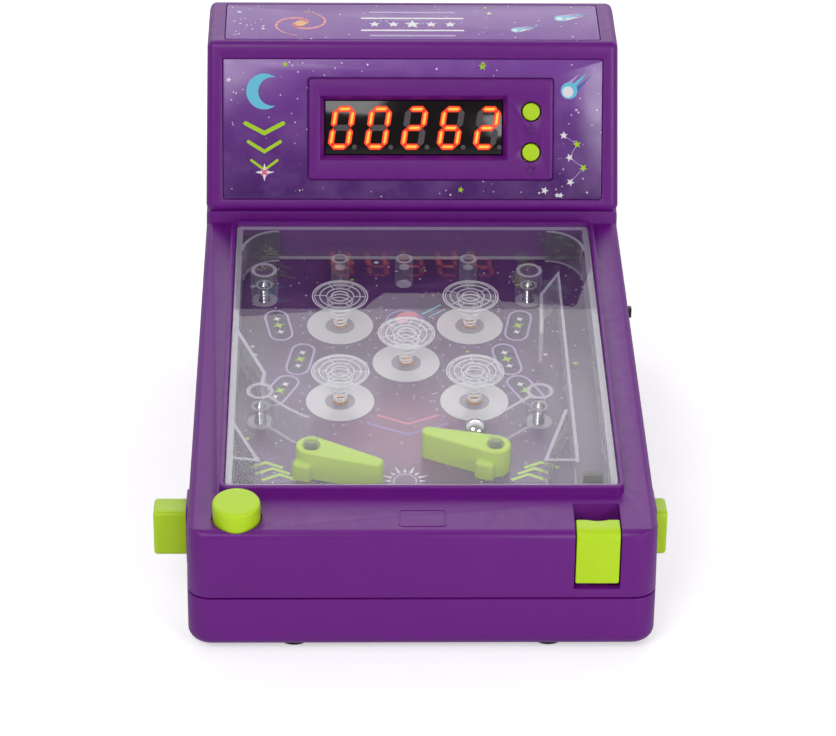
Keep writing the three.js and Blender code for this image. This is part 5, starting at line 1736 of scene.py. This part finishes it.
class PINBALL_OT_sheets(bpy.types.Operator):
    """Builds the printed sheets on the face and the top of the head"""

    bl_idname = "pinball.sheets"
    bl_label = "Printed sheets"

    def execute(self, context):
        sheet = mesh_object("sheet_work", prism(panel(-65.7, 65.7, 5.3, 53.7, 1, 6), -0.4, 0, 0.12, 0, 2))
        cut(sheet, prism(panel(-36.5, 49, 11.7, 47.5, 1.2, 6), -1, 1))
        piece(
            "face_picture", sheet, "housing", "face_sheet", ["face_sticker"],
            place=SHIFT @ FACE,
        )
        self.draw_face()
        sheet = prism(panel(-64.9, 64.9, 2.3, 27.2, 1, 6), -0.4, 0, 0.12, 0, 2)
        piece(
            "top_picture", sheet, "housing", "top_sheet", ["top_sticker"],
            place=SHIFT @ TOP,
        )
        self.draw_top()
        return {"FINISHED"}

    def draw_face(self):
        art = Print(FACE, 0.02)
        white, lime, cyan, blue = (finish(n) for n in ("white_ink", "lime_ink", "cyan_ink", "blue_ink"))
        pale, rose = finish("pale_ink"), finish("rose_ink")
        # A crescent with a band of light below it
        rims = []
        for k in range(41):
            far_side, near_side = math.radians(51.6 + 256.8 * k / 40), math.radians(78.9 + 202.2 * k / 40)
            rims.append((
                (-51.5 + 6.2 * math.cos(far_side), 42.5 + 6.2 * math.sin(far_side)),
                (-48.6 + 4.95 * math.cos(near_side), 42.5 + 4.95 * math.sin(near_side)),
            ))
        for (outer, inner), (next_outer, next_inner) in zip(rims, rims[1:]):
            art.patch([outer, next_outer, next_inner, inner], cyan, 1)
        for k in range(3):
            y = 31.5 - 6.4 * k
            art.patch(strip([(-58 + k, y), (-51.5, y - 3.4), (-45 - k, y)], 1.5 - 0.3 * k, True), lime, 1)
        art.patch(star(-51.5, 14.5, 3.2, 4, 0.3), white, 2)
        art.patch(star(-51.5, 14.5, 1.7, 4, 0.45, math.pi / 4), rose, 3)
        # A comet on the right
        along, side = Vector((0.707, 0.707)).normalized(), Vector((-0.707, 0.707))
        for reach, width, offset, hue in ((11, 1.0, 0, cyan), (8.5, 0.8, 1.7, pale), (12.5, 0.6, -1.7, blue)):
            start = Vector((54.6, 43.4)) + side * offset
            end = start + along * reach * 0.75
            art.patch([tuple(start + side * width), tuple(end), tuple(start - side * width)], hue, 1)
        art.patch(disc(2.9, 54.2, 43, 40), cyan, 2)
        art.patch(disc(1.9, 53.8, 42.6, 32), white, 3)
        # A small figure of joined stars at the lower right
        line = [(52.5, 27.5), (57.2, 24.4), (54.6, 19.8), (59.5, 16.2), (55, 11.2)]
        art.patch(strip(line, 0.22), pale, 1)
        for k, (x, y) in enumerate(line):
            art.patch(star(x, y, 1.5, 5, 0.42, 0.2 * k), lime if k % 2 else white, 2)
        clear_of = [(-37.5, 50, 10.7, 48.5), (-59, -43.5, 9, 49.5), (50, 64, 39.5, 53), (51, 61.5, 9.5, 29)]
        scatter(art, random.Random(5), 150, -64, 64, 6.6, 52.4, clear_of, (white, lime))
        art.piece("face_print", "housing", "printed_sheet")

    def draw_top(self):
        art = Print(TOP, 0.02)
        white, lime, cyan = (finish(n) for n in ("white_ink", "lime_ink", "cyan_ink"))
        rose, amber, pale = (finish(n) for n in ("rose_ink", "amber_ink", "pale_ink"))
        # A spiral of two arms
        centre = Vector((-39, 13.5))
        for arm in range(2):
            points = []
            for k in range(22):
                t = k / 21
                angle = arm * math.pi + 0.4 + t * 4.2
                reach = 1.4 + 7.2 * t
                points.append(
                    (centre.x + reach * 1.35 * math.cos(angle), centre.y + reach * math.sin(angle))
                )
            for k in range(len(points) - 1):
                width = 2.0 * (1 - k / 24)
                art.patch(
                    strip([points[k], points[k + 1]], width, True), rose if k % 2 else amber, 1 + k % 2
                )
        art.patch(disc(2.0, *centre, 32), amber, 3)
        # A band of bare bars and stars in the middle
        for k, (width, y) in enumerate(((30, 21.5), (36, 17.2), (36, 8.6), (30, 4.9))):
            art.patch(
                panel(-width / 2, width / 2, y - 0.5, y + 0.5, 0.4, 3), white if k in (1, 2) else pale, 1
            )
        for k in range(-2, 3):
            art.patch(star(6.6 * k, 12.9, 2.1 if k else 2.9, 5, 0.45), white, 2)
        # Two comets on the right
        for x, y, size in ((36, 9, 1.0), (52, 17.5, 1.25)):
            along = Vector((0.94, 0.34))
            side = Vector((-0.34, 0.94))
            head = Vector((x, y))
            for offset, reach, hue in ((0, 9.5, cyan), (1.0, 7, pale), (-1.0, 7, white)):
                start = head + side * offset * size
                end, wide = start + along * reach * size, side * 0.7 * size
                art.patch([tuple(start - wide), tuple(end), tuple(start + wide)], hue, 1)
            art.patch(disc(1.7 * size, x, y, 32), cyan, 2)
            art.patch(disc(0.9 * size, x - 0.3, y - 0.2, 24), white, 3)
        clear_of = [(-50, -27, 3, 24), (-19.5, 19.5, 3, 24), (33, 64, 6, 24)]
        scatter(art, random.Random(9), 110, -63, 63, 3.6, 26, clear_of, (white, lime), 0.9)
        art.piece("top_print", "housing", "printed_sheet")


class PINBALL_OT_slide_switch(bpy.types.Operator):
    """Dresses the slide switch knob"""

    bl_idname = "pinball.slide_switch"
    bl_label = "Slide switch"

    def execute(self, context):
        knob = from_node("slide_switch_knob", 0.25)
        piece(
            "switch_slider", knob, "slide_switch_knob", "black_moulding",
            ["slide_switch_knob"], place=Matrix(),
        )
        return {"FINISHED"}


OPERATORS = (
    PINBALL_OT_stage,
    PINBALL_OT_frame_finishes,
    PINBALL_OT_housing,
    PINBALL_OT_tray,
    PINBALL_OT_playfield,
    PINBALL_OT_flippers,
    PINBALL_OT_side_buttons,
    PINBALL_OT_launcher,
    PINBALL_OT_round_button,
    PINBALL_OT_bumpers,
    PINBALL_OT_cover_screws,
    PINBALL_OT_ball,
    PINBALL_OT_display,
    PINBALL_OT_sheets,
    PINBALL_OT_slide_switch,
    PINBALL_OT_cover,
)


class PINBALL_PT_pieces(bpy.types.Panel):
    """Lists the game's sizes, colours and pieces"""

    bl_idname = "PINBALL_PT_pieces"
    bl_label = "Pinball game"
    bl_space_type = "VIEW_3D"
    bl_region_type = "UI"
    bl_category = "Pinball"

    def draw(self, context):
        for group in (context.scene.pinball_sizes, context.scene.pinball_colours):
            for name in group.__annotations__:
                self.layout.prop(group, name)
        for operator in OPERATORS:
            self.layout.operator(operator.bl_idname)


CLASSES = (PinballSizes, PinballColours, *OPERATORS, PINBALL_PT_pieces)


def register():
    for made in CLASSES:
        bpy.utils.register_class(made)
    bpy.types.Scene.pinball_sizes = PointerProperty(type=PinballSizes)
    bpy.types.Scene.pinball_colours = PointerProperty(type=PinballColours)


def unregister():
    del bpy.types.Scene.pinball_colours
    del bpy.types.Scene.pinball_sizes
    for made in reversed(CLASSES):
        bpy.utils.unregister_class(made)


def main():
    register()
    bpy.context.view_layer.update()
    for operator in OPERATORS:
        group, name = operator.bl_idname.split(".")
        getattr(getattr(bpy.ops, group), name)()


if __name__ == "__main__":
    main()
